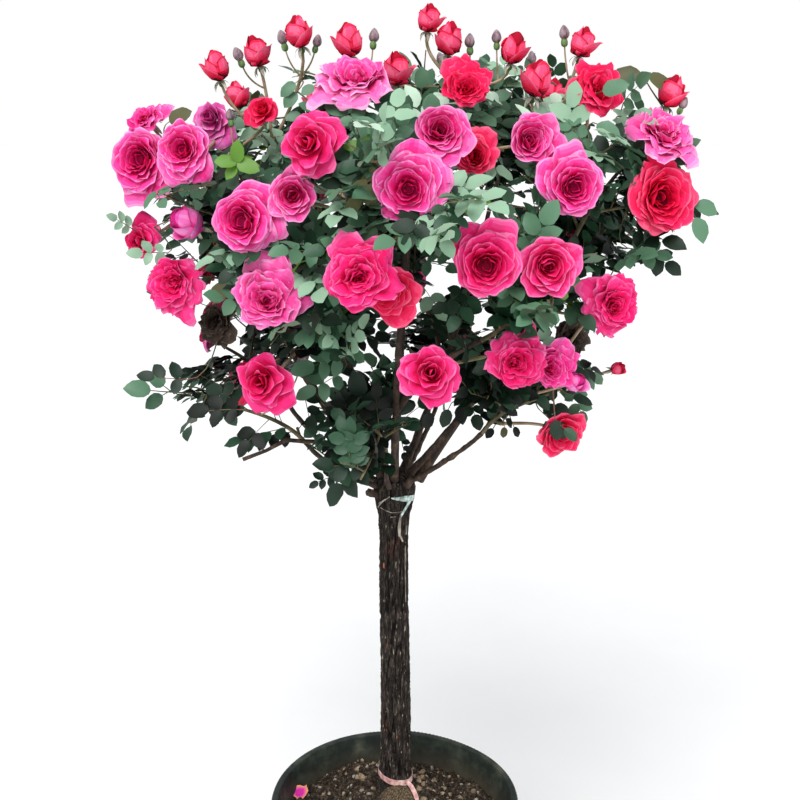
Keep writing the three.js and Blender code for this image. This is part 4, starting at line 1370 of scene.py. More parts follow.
def leaf_reach(root, direction, facing, length, wide=1.0):
    """The middle of a spray of leaflets, and how far it reaches at its tip and its two sides."""
    across = facing.cross(direction).normalized()
    half = LEAF_WIDTH * length / LEAF_LENGTH / 2 * wide
    middle = root + direction * (length * LEAF_WIDEST)
    return middle, (root + direction * length, middle + across * half, middle - across * half)


def leaf_fits(mass, root, direction, facing, length):
    middle, tips = leaf_reach(root, direction, facing, length, 0.8)
    draw = chance(middle.x + middle.y)
    if in_a_gap(middle) or middle.z > HIGHEST_LEAF or (middle.z > TOP_LEAVES and draw < 0.6):
        return False
    if middle.z > HIGH_AT_BACK and middle.y > CROWN_Y and draw < 0.45:
        return False
    return all(in_own_space(mass, p) for p in tips) and not any(hides_a_rose(p) for p in (*tips, middle))


def outward_facing(root, side, draw):
    return ((root - HEAD).normalized() * 0.7 + UP * 0.6 + side * (draw - 0.5)).normalized()


def to_front(root, facing):
    """Leaves of the front half turn a little to whoever looks at them."""
    return (facing + TURN_TO_FRONT * (0.7 * smooth(CROWN_Y - root.y, -30, 60))).normalized()


for mass in masses:
    for k, twig in enumerate(mass.twigs):
        for j, share in enumerate(LEAF_SHARES):
            if share > kept_share[twig] + 0.01:
                continue
            root, forward = twig.at(share), twig.heading(share)
            side = forward.cross(UP).normalized() * (1 if (j + k) % 2 == 0 else -1)
            seed = mass.number * 131 + k * 17 + j
            draw = chance(seed)
            length = LEAF_LENGTH * (0.85 + 0.3 * draw)
            facing = outward_facing(root, side, draw)
            spread = 0.15 if share == 1 else 0.85
            for turn in LEAF_TURNS:
                direction = (
                    turned_round(side, forward, radians(turn)) * spread
                    + forward * 0.55 + UP * (0.3 * (draw - 0.5))
                ).normalized()
                middle, corners = leaf_reach(root, direction, facing, length)
                if all(lies_on(mass, corner, 0.35) for corner in corners):
                    if not any(hides_a_rose(p, 0.85) or in_a_gap(p) for p in (middle, corners[0])):
                        add_leaf(mass, root, direction, to_front(root, facing), length, seed)
                    break

# Leaves between those, on the finer shoots, on the stems and under the roses.
# [limbs, shares along them, length, how many of ten are kept]
for mass in masses:
    own_stalks = [rose.stalk for rose in roses if rose.mass is mass]
    for limbs, shares, length, kept in (
        (mass.shoots, (0.25, 0.45, 0.65, 0.85, 1), 58, 9.4),
        (mass.twigs, (0.12, 0.26, 0.42, 0.55, 0.68, 0.82, 0.94), 66, 9),
        ([mass.stem], (0.1, 0.2, 0.3, 0.4, 0.5, 0.6, 0.7, 0.8, 0.9, 1), 70, 9.5),
        (own_stalks, (0.3, 0.5, 0.72), 54, 5),
    ):
        for k, limb in enumerate(limbs):
            for j, share in enumerate(shares):
                seed = mass.number * 211 + k * 19 + j * 5 + length
                if chance(seed + 11) * 10 > kept or share > kept_share[limb] + 0.01:
                    continue
                root, forward = limb.at(share), limb.heading(share)
                side = (forward.cross(UP) + Vector((0.001, 0, 0))).normalized()
                draw = chance(seed)
                for attempt in range(6):
                    turn = 6.28 * chance(seed + 3 + attempt)
                    spread = 0.3 if share == 1 else 0.9
                    direction = (
                        turned_round(side, forward, turn) * spread + forward * 0.5 + UP * (0.3 * (draw - 0.4))
                    ).normalized()
                    facing = to_front(root, outward_facing(root, side, draw))
                    long = length * (0.8 + 0.4 * draw)
                    if leaf_fits(mass, root, direction, facing, long):
                        add_leaf(mass, root, direction, facing, long, seed)
                        break

all_wood = [point for points, _ in wood + rose_stalks for point in points]


def add_shoot(place, way, bend, radii):
    """A fine shoot from the nearest wood to a place, where it runs the given way."""
    start = min(all_wood, key=lambda p: (p - place).length)
    shoot = Path(start, place - way * ((place - start).length * bend), place)
    leaf_stalks.append(([shoot.at(k / 6) for k in range(7)], taper(*radii, 6)))


# Large single leaves that stand out at the crown's edge, each at the end of a fine shoot of its own:
# place, direction, length, tone.
for number, (x, y, z, along, length, tone) in enumerate((
    (-258, 10, 1176, (1, -0.2, 0.5), 30, "olive"), (250, 20, 1222, (1, -0.2, 0.3), 34, "olive"),
    (292, 20, 1228, (1, -0.3, -0.6), 30, "olive"), (345, -20, 1086, (1, -0.3, -0.3), 28, "sage"),
    (344, -30, 1072, (0.4, -0.5, -1), 31, "sage"), (222, -60, 1178, (0.8, -0.4, -0.5), 32, "sage"),
    (228, -50, 1212, (0.9, -0.4, 0.3), 30, "sage"), (-300, 20, 852, (-1, -0.3, 0.2), 34, "sage"),
    (-286, 20, 846, (-0.9, -0.3, -0.6), 27, "mid"), (-284, 20, 858, (-0.6, -0.4, 0.8), 26, "sage"),
    (-109, -25, 1220, (-0.8, -0.3, -0.6), 22, "sage"), (-108, -25, 1210, (-0.7, -0.3, -0.8), 22, "sage"),
    (-88, -25, 1217, (-0.85, -0.3, -0.5), 18, "sage"), (-90, -25, 1191, (-0.9, -0.3, 0.45), 18, "sage"),
    (-103, -25, 1185, (-1, -0.3, -0.1), 19, "sage"), (-211, -34, 975, (0.6, -0.2, 0.75), 30, "olive"),
    (-166, -110, 1141, (0.1, -0.3, 1), 24, "young"), (-166, -110, 1141, (-1, -0.2, 0.1), 24, "young"),
    (-166, -110, 1141, (1, -0.2, -0.3), 26, "young"), (-167, -108, 1137, (-0.6, -0.3, -0.7), 18, "young"),
    (-32, -150, 1161, (0.3, -0.3, 1), 22, "young"), (-32, -150, 1161, (-0.9, -0.3, 0.1), 19, "young"),
    (-32, -150, 1161, (1, -0.3, 0), 23, "young"), (-31, -148, 1157, (0.5, -0.3, -0.8), 17, "young"),
    (122, 10, 806, (-0.6, -0.2, -0.8), 15, "shade"), (136, 10, 808, (-0.1, -0.2, -1), 14, "olive"),
    (148, 10, 808, (0.4, -0.2, -0.8), 14, "shade"), (44, 0, 830, (-0.3, -0.3, -1), 22, "shade"),
    (66, 0, 834, (-0.3, -0.3, -1), 24, "deep"), (78, 0, 838, (0.3, -0.3, -1), 24, "shade"),
    (186, -82, 846, (0.1, -0.5, -1), 24, "deep"), (196, -90, 838, (0.7, -0.5, -0.6), 20, "mid"),
)):
    place, way = Vector((x, y, z)), Vector(along).normalized()
    up = Vector((0.1 * (number % 3), -0.8, 0.5)) - way * way.dot(Vector((0, -0.8, 0.5)))
    leaf_spots[tone].append((place, turned_to(way, up), (length,) * 3, number % 6))
    add_shoot(place, way, 0.5, (1.2, 0.6))

# Whole leaves that reach out of the crown, in the same way: place, direction, length.
for number, (x, y, z, along, length) in enumerate((
    (291, 10, 1034, (0.7, -0.3, -0.5), 55), (302, 10, 997, (0.5, -0.3, -0.7), 50),
    (265, -20, 1019, (0.3, -0.7, 0.2), 60), (280, 0, 1055, (0.6, -0.5, -0.2), 60),
    (-170, -40, 813, (0.3, -0.3, 1), 34), (-188, -50, 804, (-0.5, -0.2, -0.8), 38),
    (-158, -40, 815, (-0.5, -0.3, 0.8), 34), (-130, -30, 809, (0.2, -0.3, 0.9), 32),
    (228, -20, 857, (0.5, -0.2, -1), 46), (215, -20, 867, (0.3, -0.3, -1), 44),
    (140, 10, 808, (-0.3, -0.2, -1), 32), (123, 10, 796, (-0.2, -0.2, -1), 28),
    (-236, -30, 861, (-0.9, -0.3, -0.1), 60), (-225, -30, 842, (-0.8, -0.3, -0.5), 56),
    (-251, -10, 874, (-1, -0.3, 0.15), 56), (-195, 0, 906, (-0.3, -0.7, 0.6), 48),
    (-311, 20, 1052, (-0.6, -0.5, 0.5), 34), (-266, 0, 1026, (-1, -0.4, 0), 44),
    (-78, -10, 758, (-0.8, -0.4, 0.1), 40), (-74, -12, 752, (-0.7, -0.4, -0.15), 34),
    (-50, -20, 744, (-0.3, -0.7, -0.7), 36), (-40, -26, 742, (0.3, -0.7, -0.6), 34),
    (-228, 0, 806, (-0.6, -0.3, -0.4), 42), (-242, 0, 814, (-0.8, -0.3, -0.1), 44),
    (190, -20, 866, (0.1, -0.4, -1), 44), (284, -10, 1005, (0.4, -0.4, -0.9), 56),
    (278, -10, 985, (0.5, -0.4, -0.8), 50), (274, 0, 1032, (0.9, -0.4, -0.2), 50),
    (262, 10, 1196, (0.3, -0.6, 0.5), 52), (256, 10, 1182, (0.7, -0.6, -0.1), 50),
    (-108, -20, 862, (0.2, -0.6, -0.7), 50), (-98, -20, 838, (0.3, -0.6, -0.8), 46),
    (-112, -70, 1044, (-0.5, -0.8, 0.2), 48), (42, -60, 1062, (0.1, -0.8, -0.4), 44),
    (70, 0, 838, (0.4, -0.6, -0.6), 44), (88, 0, 853, (0.3, -0.6, -0.7), 44),
    (8, 10, 794, (0.2, -0.6, -0.7), 30), (100, -10, 862, (0.8, -0.6, -0.3), 44),
    (-58, -60, 914, (-0.8, -0.5, -0.1), 60), (-60, -55, 896, (-0.8, -0.5, -0.4), 58),
    (-66, -40, 928, (-0.5, -0.6, -0.5), 54), (30, -60, 1002, (0.5, -0.6, -0.7), 50),
    (34, -50, 1024, (0.8, -0.5, -0.1), 46), (172, -40, 846, (0.6, -0.6, -0.5), 46),
)):
    place, way = Vector((x, y, z)), Vector(along).normalized()
    mass = min(masses, key=lambda m: (m.middle - place).length)
    facing = Vector((0.1 * (number % 3 - 1), -0.8, 0.5))
    if add_leaf(mass, place, way, facing - way * way.dot(facing), length, 900 + number):
        add_shoot(place, way, 0.4, (1.3, 0.7))

leaflet_shapes = [leaflet(seed) for seed in range(6)]


def place_in_crown(piece):
    """Rides a piece of the crown, which stands for a part of every mass of foliage."""
    place_on_plant(piece, "foliage", *[f"{mass.name}_foliage" for mass in masses])


for tone, (colour, roughness) in LEAF_TONES.items():
    finish, nodes, links, shader = new_finish(f"leaf_{tone}", roughness, 0.36)
    shader.inputs["Base Color"].default_value = paint(*colour)
    roughen(nodes, links, shader, speckle(nodes, links, 420, 3), 0.0005, 0.35)
    if leaf_spots[tone]:
        place_in_crown(set_out(f"leaves_{tone}", leaf_spots[tone], leaflet_shapes, [finish]))

# The crown's wood is laid up as round limbs along their own lines.
WOOD_SIDES, LEAF_STALK_SIDES = 6, 4


def limb_tree():
    """Rounds out lines that carry a radius: a count of sides and a finish."""
    tree, add, wire = new_tree("limbs_along_lines", ("Sides", "Int"), ("Finish", "Material"))
    given, result = add("NodeGroupInput"), add("NodeGroupOutput")
    ring, radius = add("GeometryNodeCurvePrimitiveCircle"), add("GeometryNodeInputRadius")
    skin, even = add("GeometryNodeCurveToMesh"), add("GeometryNodeSetShadeSmooth")
    real, colour = add("GeometryNodeRealizeInstances"), add("GeometryNodeSetMaterial")
    ring.inputs["Radius"].default_value = 1
    skin.inputs["Fill Caps"].default_value = True
    wire(
        (given, "Geometry", skin, "Curve"), (given, "Sides", ring, "Resolution"),
        (ring, "Curve", skin, "Profile Curve"), (radius, "Radius", skin, "Scale"),
        (skin, "Mesh", even, "Geometry"), (even, "Geometry", real, "Geometry"),
        (real, "Geometry", colour, "Geometry"), (given, "Finish", colour, "Material"),
        (colour, "Geometry", result, "Geometry"),
    )
    return tree


limbs_along_lines = limb_tree()


def lay_up(name, limbs, sides, finish):
    """One piece of round limbs, each given as its points in millimetres and their radii."""
    lines = bpy.data.curves.new(name, "CURVE")
    lines.dimensions = "3D"
    for points, radii in limbs:
        line = lines.splines.new("POLY")
        line.points.add(len(points) - 1)
        line.points.foreach_set("co", [c for p in points for c in (*(p * MM), 1)])
        line.points.foreach_set("radius", [radius * MM for radius in radii])
    holder = new_object(f"{name}_lines", lines)
    modifier = holder.modifiers.new("round", "NODES")
    modifier.node_group = limbs_along_lines
    set_inputs(modifier, {"Sides": sides, "Finish": finish})
    bpy.context.view_layer.update()
    mesh = bpy.data.meshes.new_from_object(holder.evaluated_get(bpy.context.evaluated_depsgraph_get()))
    bpy.data.objects.remove(holder)
    mesh.name = name
    return new_object(name, mesh)


twig_finish = grained_finish(
    "green_wood", ((0.34, 58, 54, 38), (0.5, 92, 86, 58), (0.66, 132, 116, 84)), 60, 4, 0.0005, 0.6, 0.4,
)
place_in_crown(lay_up("crown_wood", wood, WOOD_SIDES, twig_finish))
stalk_finish = grained_finish(
    "tan_green_stalk", ((0.36, 112, 108, 72), (0.5, 152, 132, 102), (0.64, 184, 164, 136)),
    45, 3, 0.0004, 0.55, 0.4,
)
place_in_crown(lay_up("flower_stalks", rose_stalks, WOOD_SIDES, stalk_finish))
leaf_stalk_finish = grained_finish(
    "reddish_leaf_stalk", ((0.38, 60, 84, 50), (0.52, 104, 104, 62), (0.62, 134, 84, 66)),
    30, 2, 0.0003, 0.5, 0.4,
)
place_in_crown(lay_up("leaf_stalks", leaf_stalks, LEAF_STALK_SIDES, leaf_stalk_finish))

# ---- Open roses ----
# Full roses, most of thirty to forty petals. The inner ones stand crowded round an eye painted
# dark as shade, the outer ones spread and roll back at their ruffled rims, and a few guard petals
# hang at the foot.

PETAL_ROWS, PETAL_COLUMNS = 9, 12
noise.seed_set(7)  # the sway of the petals is the same each time
PAINTS, SHADES = 6, 11  # colours that are given, heart to rim, and the shades mixed between them
# Each pair is for the innermost and the outermost petal, in halves of the rose's width. Leans are
# from upright, in degrees.
ROSE_FORMS = {
    "full": dict(
        count=36, foot=-0.42, root=(0.11, 0.16), length=(0.40, 0.90), lean_foot=(34, 66), lean_rim=(-14, 88),
        roll=(8, 50), width=(0.25, 0.66), cup=(0.25, 1.1), ruffle=0.045, waves=(0.9, 2.2), round_off=0.30,
        warp=0.07, shade=(0.45, 3.3, 1.5, 1.1), core=6, guards=2,
    ),
    "ruffled": dict(
        count=38, foot=-0.40, root=(0.05, 0.16), length=(0.34, 0.90), lean_foot=(18, 68), lean_rim=(0, 88),
        roll=(14, 62), width=(0.24, 0.56), cup=(0.24, 0.8), ruffle=0.07, waves=(1.0, 2.4), round_off=0.28,
        warp=0.13, shade=(0.7, 2.9, 1.0, 1.05), core=8, guards=3,
    ),
    "cupped": dict(
        count=30, foot=-0.46, root=(0.08, 0.16), length=(0.46, 0.92), lean_foot=(28, 66), lean_rim=(-26, 62),
        roll=(5, 50), width=(0.28, 0.66), cup=(0.24, 0.85), ruffle=0.04, waves=(0.8, 1.8), round_off=0.32,
        warp=0.07, shade=(0.8, 3.2, 1.2, 1.05), core=6, guards=3,
    ),
    "pointed": dict(
        count=17, foot=-0.42, root=(0.03, 0.12), length=(0.80, 1.00), lean_foot=(15, 66), lean_rim=(-18, 84),
        roll=(0, 90), width=(0.32, 0.74), cup=(0.15, 0.82), ruffle=0.06, waves=(0.6, 1.5), round_off=0.38,
        warp=0.09, shade=(1.5, 2.4, 0.7, 0.9), core=0, guards=2,
    ),
}
# Six colours each, heart to rim: the dark ones are painted shade in the eye and at the petals' feet, and the
# pale ones are partly painted highlight at the rims.
ROSE_PAINTS = {
    "pink": ((124, 2, 54), (192, 8, 82), (224, 22, 106), (236, 48, 136), (242, 88, 166), (244, 148, 202)),
    "pale": ((160, 4, 78), (212, 22, 108), (232, 46, 134), (241, 78, 158), (244, 118, 184), (246, 172, 214)),
    "hot": ((112, 2, 38), (184, 4, 60), (220, 14, 82), (234, 30, 106), (241, 62, 134), (244, 118, 172)),
    "red": ((88, 0, 24), (172, 2, 42), (216, 10, 60), (236, 24, 78), (243, 48, 100), (246, 98, 134)),
    "magenta": (
        (116, 4, 66), (172, 16, 104), (206, 44, 138), (222, 80, 166), (233, 120, 190), (242, 172, 216),
    ),
    # Near-black grey-brown, for the two darkest roses.
    "spent": ((14, 12, 10), (26, 21, 19), (40, 33, 30), (54, 45, 40), (70, 59, 52), (96, 84, 74)),
}


def streak(column, row, seed):
    """Long soft streaks up a petal."""
    return noise.noise(Vector((column * 0.38, row * 0.14, seed * 3.7)))


def shade_of(tone):
    """The number of the shade for a tone from 0, the heart's colour, to 5, the rim's."""
    return min(SHADES - 1, max(0, round(tone * (SHADES - 1) / (PAINTS - 1))))


def petal(share, azimuth, form, seed, length_share=1.0, droop=0.0):
    """A petal as a thin sheet: points, faces and the shade of each face."""
    def pick(name, power=1.0):
        inner, outer = form[name]
        return inner + (outer - inner) * share**power

    length = pick("length", 0.8) * (0.86 + 0.24 * chance(seed)) * length_share
    lean_foot = radians(pick("lean_foot", 1.0) + 12 * (chance(seed + 1) - 0.5))
    lean_rim = radians(pick("lean_rim", 0.8) + 22 * (chance(seed + 2) - 0.5) + droop)
    roll = radians(pick("roll") * (0.2 + 1.4 * chance(seed + 3)))
    fine = np.linspace(0, 1, 33)
    lean = lean_foot + (lean_rim - lean_foot) * fine * fine * (3 - 2 * fine)
    lean += roll * np.clip((fine - 0.68) / 0.32, 0, 1) ** 2
    out = pick("root") + np.cumsum(np.sin(lean)) * length / 33
    rise = form["foot"] + np.cumsum(np.cos(lean)) * length / 33
    steps = 1 - (1 - np.linspace(0, 1, PETAL_ROWS + 1)) ** 1.25
    along, across = np.meshgrid(steps, np.linspace(-1, 1, PETAL_COLUMNS + 1), indexing="ij")
    notch = 0.04 * np.sin(across * 3.1 * (1 + chance(seed + 11)) + 6.28 * chance(seed + 12))
    reach = along * (1 - form["round_off"] * np.abs(across) ** 4 + notch * along - 0.04)
    reach = np.clip(reach, 0, 1)
    spread = 0.30 + 0.70 * np.sin(np.pi / 2 * np.minimum(1, along / 0.72))
    wide = across * pick("width") * spread * (0.85 + 0.3 * chance(seed + 4))
    cup = pick("cup")
    radial = np.interp(reach, fine, out) - cup * (1 - np.cos(wide / cup))
    level = cup * np.sin(wide / cup)
    height = np.interp(reach, fine, rise)
    tilt = np.interp(reach, fine, lean)
    waves = form["waves"][0] + (form["waves"][1] - form["waves"][0]) * chance(seed + 5)
    ruffle = np.sin(across * np.pi * waves + 6.28 * chance(seed + 6)) * along**2.5
    ruffle += 0.4 * np.sin(across * np.pi * waves * 2.7 + 6.28 * chance(seed + 13)) * along**5
    ruffle *= form["ruffle"] * (0.45 + 0.8 * share)
    ruffle += 0.10 * (chance(seed + 14) - 0.5) * across * along**2
    radial = radial + ruffle * np.cos(tilt)
    height = height - ruffle * np.sin(tilt)
    turn = azimuth + 0.3 * (chance(seed + 7) - 0.5)
    east = radial * cos(turn) - level * sin(turn)
    north = radial * sin(turn) + level * cos(turn)
    sheet = np.stack([east, north, height], axis=-1)
    base, climb, by_share, power = form["shade"]
    faces, tones = [], []
    for row in range(PETAL_ROWS):
        place = (row + 0.5) / PETAL_ROWS
        for column in range(PETAL_COLUMNS):
            first = row * (PETAL_COLUMNS + 1) + column
            faces.append((first, first + PETAL_COLUMNS + 1, first + PETAL_COLUMNS + 2, first + 1))
            side = abs((column + 0.5) / PETAL_COLUMNS * 2 - 1)
            # Each face's tone climbs from foot to rim. This is partly the petal's own colour, partly painted
            # shade low in the flower and on the inner petals, and partly painted highlight on the side edges
            # and the rim row. The streaks and the random step are the petal's own.
            tone = base + climb * place**power + by_share * (share - 0.3) + 0.7 * (chance(seed + 8) - 0.5)
            tone += 0.8 * streak(column, row, seed) + 0.7 * side**4 * place + 0.5 * (row == PETAL_ROWS - 1)
            tones.append(tone)
    return sheet.reshape(-1, 3), faces, [shade_of(tone) for tone in tones]


def joined_shape(parts):
    """Several parts with shaded faces as one shape."""
    points, faces = join_parts([(part[0], part[1]) for part in parts])
    return points, faces, [shade for part in parts for shade in part[2]]


def rose_shape(form, seed):
    """A whole flower one unit in radius that faces up. Its guard petals hang toward +X."""
    petals = [
        (k / (form["count"] - 1), k * GOLDEN + seed, seed * 57 + k * 11, 1.0, 0.0)
        for k in range(form["count"])
    ]
    petals += [
        (0.0, k * 2.2 + seed, seed * 91 + k * 7, 0.5 + 0.35 * chance(seed + k), 40 * chance(seed * 3 + k))
        for k in range(form["core"])
    ]
    for k in range(form["guards"]):
        azimuth = 1.0 * (k - (form["guards"] - 1) / 2) + 0.3 * chance(seed * 5 + k)
        petals.append((1.1, azimuth, seed * 33 + k * 5, 1.30 - 0.08 * k, -2))
    parts = []
    for share, azimuth, key, length_share, droop in petals:
        points, faces, shades = petal(share, azimuth, form, key, length_share, droop)
        # The small petals of the eye are painted one shade darker, as shade.
        if length_share < 1:
            points[:, :2] *= 0.6
            shades = [max(0, shade - 1) for shade in shades]
        parts.append((points, faces, shades))
    # The flower's floor closes the eye at its foot, in the heart's colour as painted shade.
    reach, foot = form["root"][0] + 0.14, form["foot"]
    rim = [(reach * cos(0.785 * k), reach * sin(0.785 * k), foot + 0.16) for k in range(8)]
    parts.append((rim + [(0, 0, foot + 0.14)], [(k, (k + 1) % 8, 8) for k in range(8)], [0] * 8))
    points, faces, shades = joined_shape(parts)
    points = np.array(points)
    points[:, :2] /= np.percentile(np.hypot(points[:, 0], points[:, 1]), 99)
    shift = 0.17 * (1 - np.clip(np.hypot(points[:, 0], points[:, 1]), 0, 1))
    points[:, 0] += shift * cos(seed * 2.4 + 2)
    points[:, 1] += shift * sin(seed * 2.4 + 2)
    for k, point in enumerate(points):
        at = Vector(point) + Vector((seed * 5, 0, 0))
        sway = noise.noise_vector(at * 1.9) * form["warp"] + noise.noise_vector(at * 5) * (form["warp"] * 0.4)
        points[k] = point + np.array(sway)
    return points.tolist(), faces, shades


def petal_finishes(kind, colours, roughness=0.68):
    finishes = []
    for shade in range(SHADES):
        at = shade * (PAINTS - 1) / (SHADES - 1)
        mixed = [np.interp(at, range(PAINTS), part) for part in zip(*colours)]
        finish, nodes, links, shader = new_finish(f"petal_{kind}_{shade}", roughness, 0.08)
        shader.inputs["Base Color"].default_value = paint(*mixed)
        roughen(nodes, links, shader, speckle(nodes, links, 300, 3), 0.0005, 0.4)
        finishes.append(finish)
    return finishes


def facing_turn(rose):
    """The turn that faces a flower outward, with its loose petals toward their way."""
    loose = Vector((sin(rose.way), 0, cos(rose.way) + 0.01))
    return turned_to(loose - rose.facing * loose.dot(rose.facing), rose.facing)


form_kits = {form: [] for form in ROSE_FORMS}
open_shapes = []
for form, sizes in ROSE_FORMS.items():
    for seed in range(3):
        form_kits[form].append(len(open_shapes))
        open_shapes.append(rose_shape(sizes, len(open_shapes) + 1))
for colour, paints in ROSE_PAINTS.items():
    spots = [
        (rose.place, facing_turn(rose), (rose.half,) * 3, form_kits[rose.form][rose.number % 3])
        for rose in roses if rose.colour == colour
    ]
    place_in_crown(set_out(f"roses_{colour}", spots, open_shapes, petal_finishes(colour, paints)))

# ---- Half-open roses ----
# Plump pointed flowers, pink and red, their foot painted dark as shade: a wrapped middle with a
# slanting fold, and a few rounded petals that are just letting go at the sides.

HALF_OPEN_FOOT, HALF_OPEN_HEIGHT, HALF_OPEN_WRAPS = -0.85, 1.8, 4
HALF_OPEN_PROFILE = (  # share of the height, half width
    (0, 0.12), (0.06, 0.36), (0.18, 0.52), (0.36, 0.60), (0.55, 0.56), (0.72, 0.45), (0.86, 0.31), (1, 0.10),
)
# The loose petals are painted dark as shade at the foot as well.
HALF_OPEN_LOBE = dict(
    count=1, foot=HALF_OPEN_FOOT, root=(0.16, 0.16), length=(1.5, 1.7), lean_foot=(60, 56), lean_rim=(4, 18),
    roll=(20, 50), width=(0.95, 1.05), cup=(0.62, 0.66), ruffle=0.05, waves=(0.4, 0.9), round_off=0.5,
    warp=0.0, shade=(-0.6, 5.2, 0.2, 0.55), core=0, guards=0,
)
# The ways of the loose petals of each shape. The first looks to the loose side.
LOBE_WAYS = ((0.1, -1.9), (0.15, 3.0), (-0.2, 2.5, -1.5))
# The first colour of each is painted shade for the foot of the flower.
HALF_OPEN_PAINTS = {
    "scarlet": ((44, 12, 30), (128, 10, 38), (212, 18, 50), (238, 44, 82), (246, 82, 124), (250, 128, 160)),
    "rosy": ((126, 4, 66), (192, 22, 108), (224, 46, 142), (238, 80, 174), (244, 120, 196), (248, 172, 218)),
}


def turned_body(profile, sides, shade, squeeze=0.0):
    """A closed turned body up +Z from (radius, height) pairs, with the shade of its faces."""
    points = []
    for radius, height in profile[1:-1]:
        for side in range(sides):
            angle = 2 * pi * side / sides
            reach = radius * (1 + squeeze * cos(5 * angle))
            points.append((reach * cos(angle), reach * sin(angle), height))
    faces = closed_rings(len(profile) - 2, sides)
    return points + [(0, 0, profile[0][1]), (0, 0, profile[-1][1])], faces, [shade] * len(faces)


def wrapped_petal(number, seed):
    """A petal wound round the closed middle, its rim cut on a slant and turned back a little."""
    rows, columns = np.linspace(0, 1, PETAL_ROWS + 1), np.linspace(-1, 1, PETAL_COLUMNS + 1)
    along, across = np.meshgrid(rows, columns, indexing="ij")
    slant = 0.10 + 0.10 * chance(seed + number)
    level = along * (1 - 0.06 * number - slant * (across + 1) / 2 * (number > 0) - 0.16 * np.abs(across) ** 3)
    turned = np.clip((along - 0.84) / 0.16, 0, 1) ** 2
    reach = np.interp(level, *zip(*HALF_OPEN_PROFILE)) + 0.015 + 0.03 * number
    reach = reach + 0.07 * np.clip(across, 0, 1) ** 2 * along + 0.09 * turned
    spread = across * (0.6 + 0.85 * np.minimum(1, along / 0.35)) * (1 - 0.2 * along)
    way = seed * 1.7 + number * GOLDEN + spread
    height = HALF_OPEN_FOOT + HALF_OPEN_HEIGHT * level - 0.05 * turned
    faces, tones = [], []
    for row in range(PETAL_ROWS):
        for column in range(PETAL_COLUMNS):
            first = row * (PETAL_COLUMNS + 1) + column
            faces.append((first, first + 1, first + PETAL_COLUMNS + 2, first + PETAL_COLUMNS + 1))
            side = abs((column + 0.5) / PETAL_COLUMNS * 2 - 1)
            # The tone climbs from a foot painted dark as shade to the flower's colour a third of the way up;
            # the side edges and the rim row are a darker red of their own.
            tone = 4.1 * min(1, (float(level[row, column]) + 0.02) / 0.36) ** 1.3
            tone += 0.7 * streak(column, row, seed + number)
            tones.append(tone - 1.3 * (side > 0.8) - 1.0 * (row == PETAL_ROWS - 1))
    sheet = np.stack([reach * np.cos(way), reach * np.sin(way), height], axis=-1)
    return sheet.reshape(-1, 3), faces, [shade_of(tone) for tone in tones]


def half_open_shape(seed):
    """A closed pointed middle that faces up, and the petals that have let go, the first toward +X."""
    petals = [wrapped_petal(number, seed) for number in range(HALF_OPEN_WRAPS)]
    petals += [
        petal(0.6 * (k == 0), way, HALF_OPEN_LOBE, seed * 57 + k * 11, 1.0 - 0.2 * k)
        for k, way in enumerate(LOBE_WAYS[seed])
    ]
    core = [
        (radius * 0.9, HALF_OPEN_FOOT + HALF_OPEN_HEIGHT * 0.97 * share)
        for share, radius in HALF_OPEN_PROFILE
    ]
    petals.append(turned_body([(0, core[0][1])] + core + [(0, core[-1][1] + 0.02)], 12, 3))
    return joined_shape(petals)


half_open_shapes = [half_open_shape(seed) for seed in range(len(LOBE_WAYS))]
for colour, paints in HALF_OPEN_PAINTS.items():
    spots = []
    for rose in roses:
        if rose.colour == colour:
            loose = Vector((rose.side, -0.45, 0))
            turn = turned_to(loose - rose.facing * loose.dot(rose.facing), rose.facing)
            spots.append((rose.place, turn, (rose.half,) * 3, rose.number % 3))
    finishes = petal_finishes(f"half_open_{colour}", paints)
    place_in_crown(set_out(f"half_open_roses_{colour}", spots, half_open_shapes, finishes))

# ---- Hips, sepals and closed buds ----
# Under each flower sits a round green hip with five narrow grey-green sepals that are bent back.
# Closed buds are still wrapped in theirs, greyed mauve over the green hip, each on a thin stalk.

HIP_WIDTH, HIP_LENGTH = 8.5, 9
SEPAL_LENGTH, SEPAL_WIDTH = 19, 6.5
CLOSED_BUDS = [  # x, y, height, length
    (-174, 10, 1244, 17), (-124, 10, 1262, 17), (-88, 10, 1259, 15), (-23, 10, 1264, 17), (86, 10, 1258, 17),
    (116, 10, 1263, 16), (192, 10, 1267, 17), (330, 15, 1191, 15), (-186, 0, 1178, 15), (-107, -80, 914, 18),
    (-60, 120, 1250, 16), (60, 160, 1238, 16), (170, 130, 1240, 16), (-107, -70, 907, 18),
]
BUD_STALK, BUD_STALK_TIP = 1.2, 0.9


def sepal(azimuth, bent, shade):
    """A narrow sepal from the top of the hip, bent back by an angle, as a thin closed leaf."""
    points = []
    out, rise, heading = HIP_WIDTH * 0.4, 0.0, radians(95)
    for k, half in enumerate((0.7, 1.0, 0.85, 0.55, 0.12)):
        half *= SEPAL_WIDTH / 2
        for across in (-half, 0, half):
            keel = 0.25 * (SEPAL_WIDTH / 2 - abs(across))
            points.append((
                out * cos(azimuth) - across * sin(azimuth),
                out * sin(azimuth) + across * cos(azimuth),
                rise + keel,
            ))
        heading += radians(bent) / 4
        out += sin(heading) * SEPAL_LENGTH / 4
        rise += cos(heading) * SEPAL_LENGTH / 4
    faces = [(a, a + 3, a + 4, a + 1) for a in (k * 3 + j for k in range(4) for j in range(2))]
    return points, faces, [shade] * len(faces)


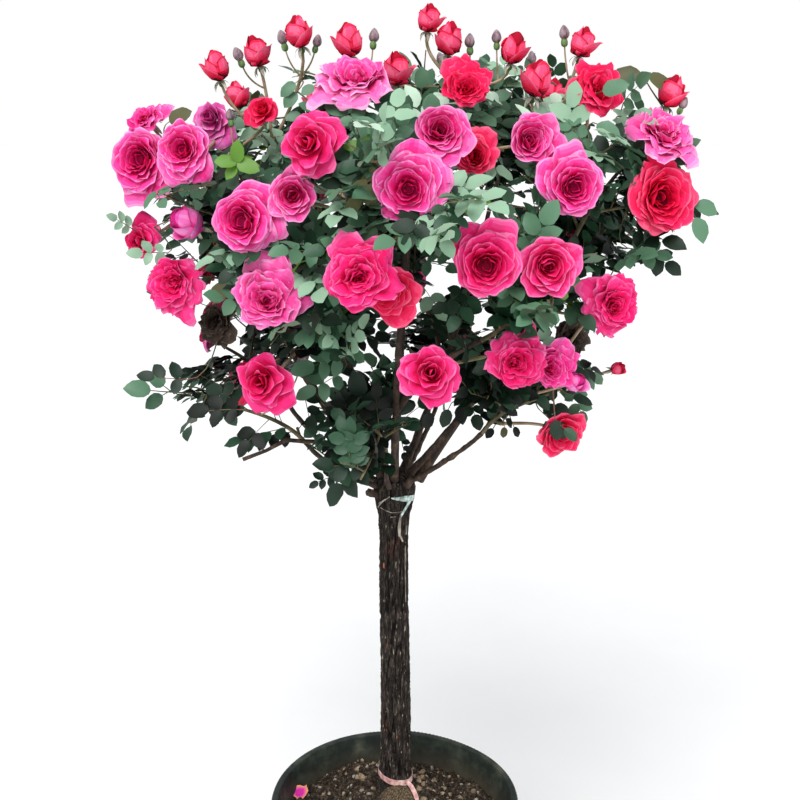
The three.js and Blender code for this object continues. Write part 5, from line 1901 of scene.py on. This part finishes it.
HIP = [(0, -HIP_LENGTH), (2.2, -HIP_LENGTH), (3.8, -7), (4.25, -4), (3.7, -1.2), (3.0, 0.6), (0, 1)]
calyx_shapes = []
for seed, bent in ((0, 70), (1, 60), (2, 80)):
    sepals = [sepal(k * 1.2566 + seed, bent + 30 * chance(seed + k), 1) for k in range(5)]
    calyx_shapes.append(joined_shape([turned_body(HIP, 10, 0)] + sepals))
BUD = [(0, 0), (3.8, 0.5), (5.7, 3.6), (6.1, 6.4), (5.2, 10), (3.5, 13.2), (1.9, 15.2), (0, 16.4)]
calyx_shapes.append(joined_shape([turned_body(HIP, 10, 0), turned_body(BUD, 15, 2, 0.10)]))
calyx_finishes = [
    grained_finish(name, ((0.36, *dark), (0.64, *light)), 240, 4, 0.0004, 0.6, 0.3, (1, 1, 0.4))
    for name, dark, light in (
        ("green_hip", (70, 104, 58), (120, 156, 92)), ("grey_sepal", (118, 120, 102), (200, 198, 182)),
        ("mauve_bud", (98, 78, 88), (164, 142, 148)),
    )
]
spots = []
for rose in roses:
    foot = ROSE_FORMS[rose.form]["foot"] if rose.is_open else HALF_OPEN_FOOT
    size = 1.0 if rose.is_open else 0.75 * rose.half / 20
    turn = rose.facing.to_track_quat("Z", "Y")
    spots.append((rose.place + rose.facing * (foot * rose.half - 1), turn, (size,) * 3, rose.number % 3))
bud_stalks = []
for x, y, height, length in CLOSED_BUDS:
    place = Vector((x, y, height))
    near = [r.stalk.at(k / 8) for r in roses for k in range(1, 7)]
    near += [m.stem.at(k / 8) for m in masses for k in range(4, 9)]
    start = min(near, key=lambda p: (p - place).length + 3 * max(0, p.z + 30 - place.z))
    lean = ((place - start).normalized() + UP * 0.9).normalized()
    end = place - lean * (HIP_LENGTH * length / 18)
    path = Path(start, end - lean * ((end - start).length * 0.5), end)
    bud_stalks.append(([path.at(k / 8) for k in range(9)], taper(BUD_STALK, BUD_STALK_TIP, 8)))
    spots.append((place, lean.to_track_quat("Z", "Y"), (length / 18,) * 3, 3))
place_in_crown(set_out("hips_sepals_and_buds", spots, calyx_shapes, calyx_finishes))
place_in_crown(lay_up("bud_stalks", bud_stalks, WOOD_SIDES, stalk_finish))
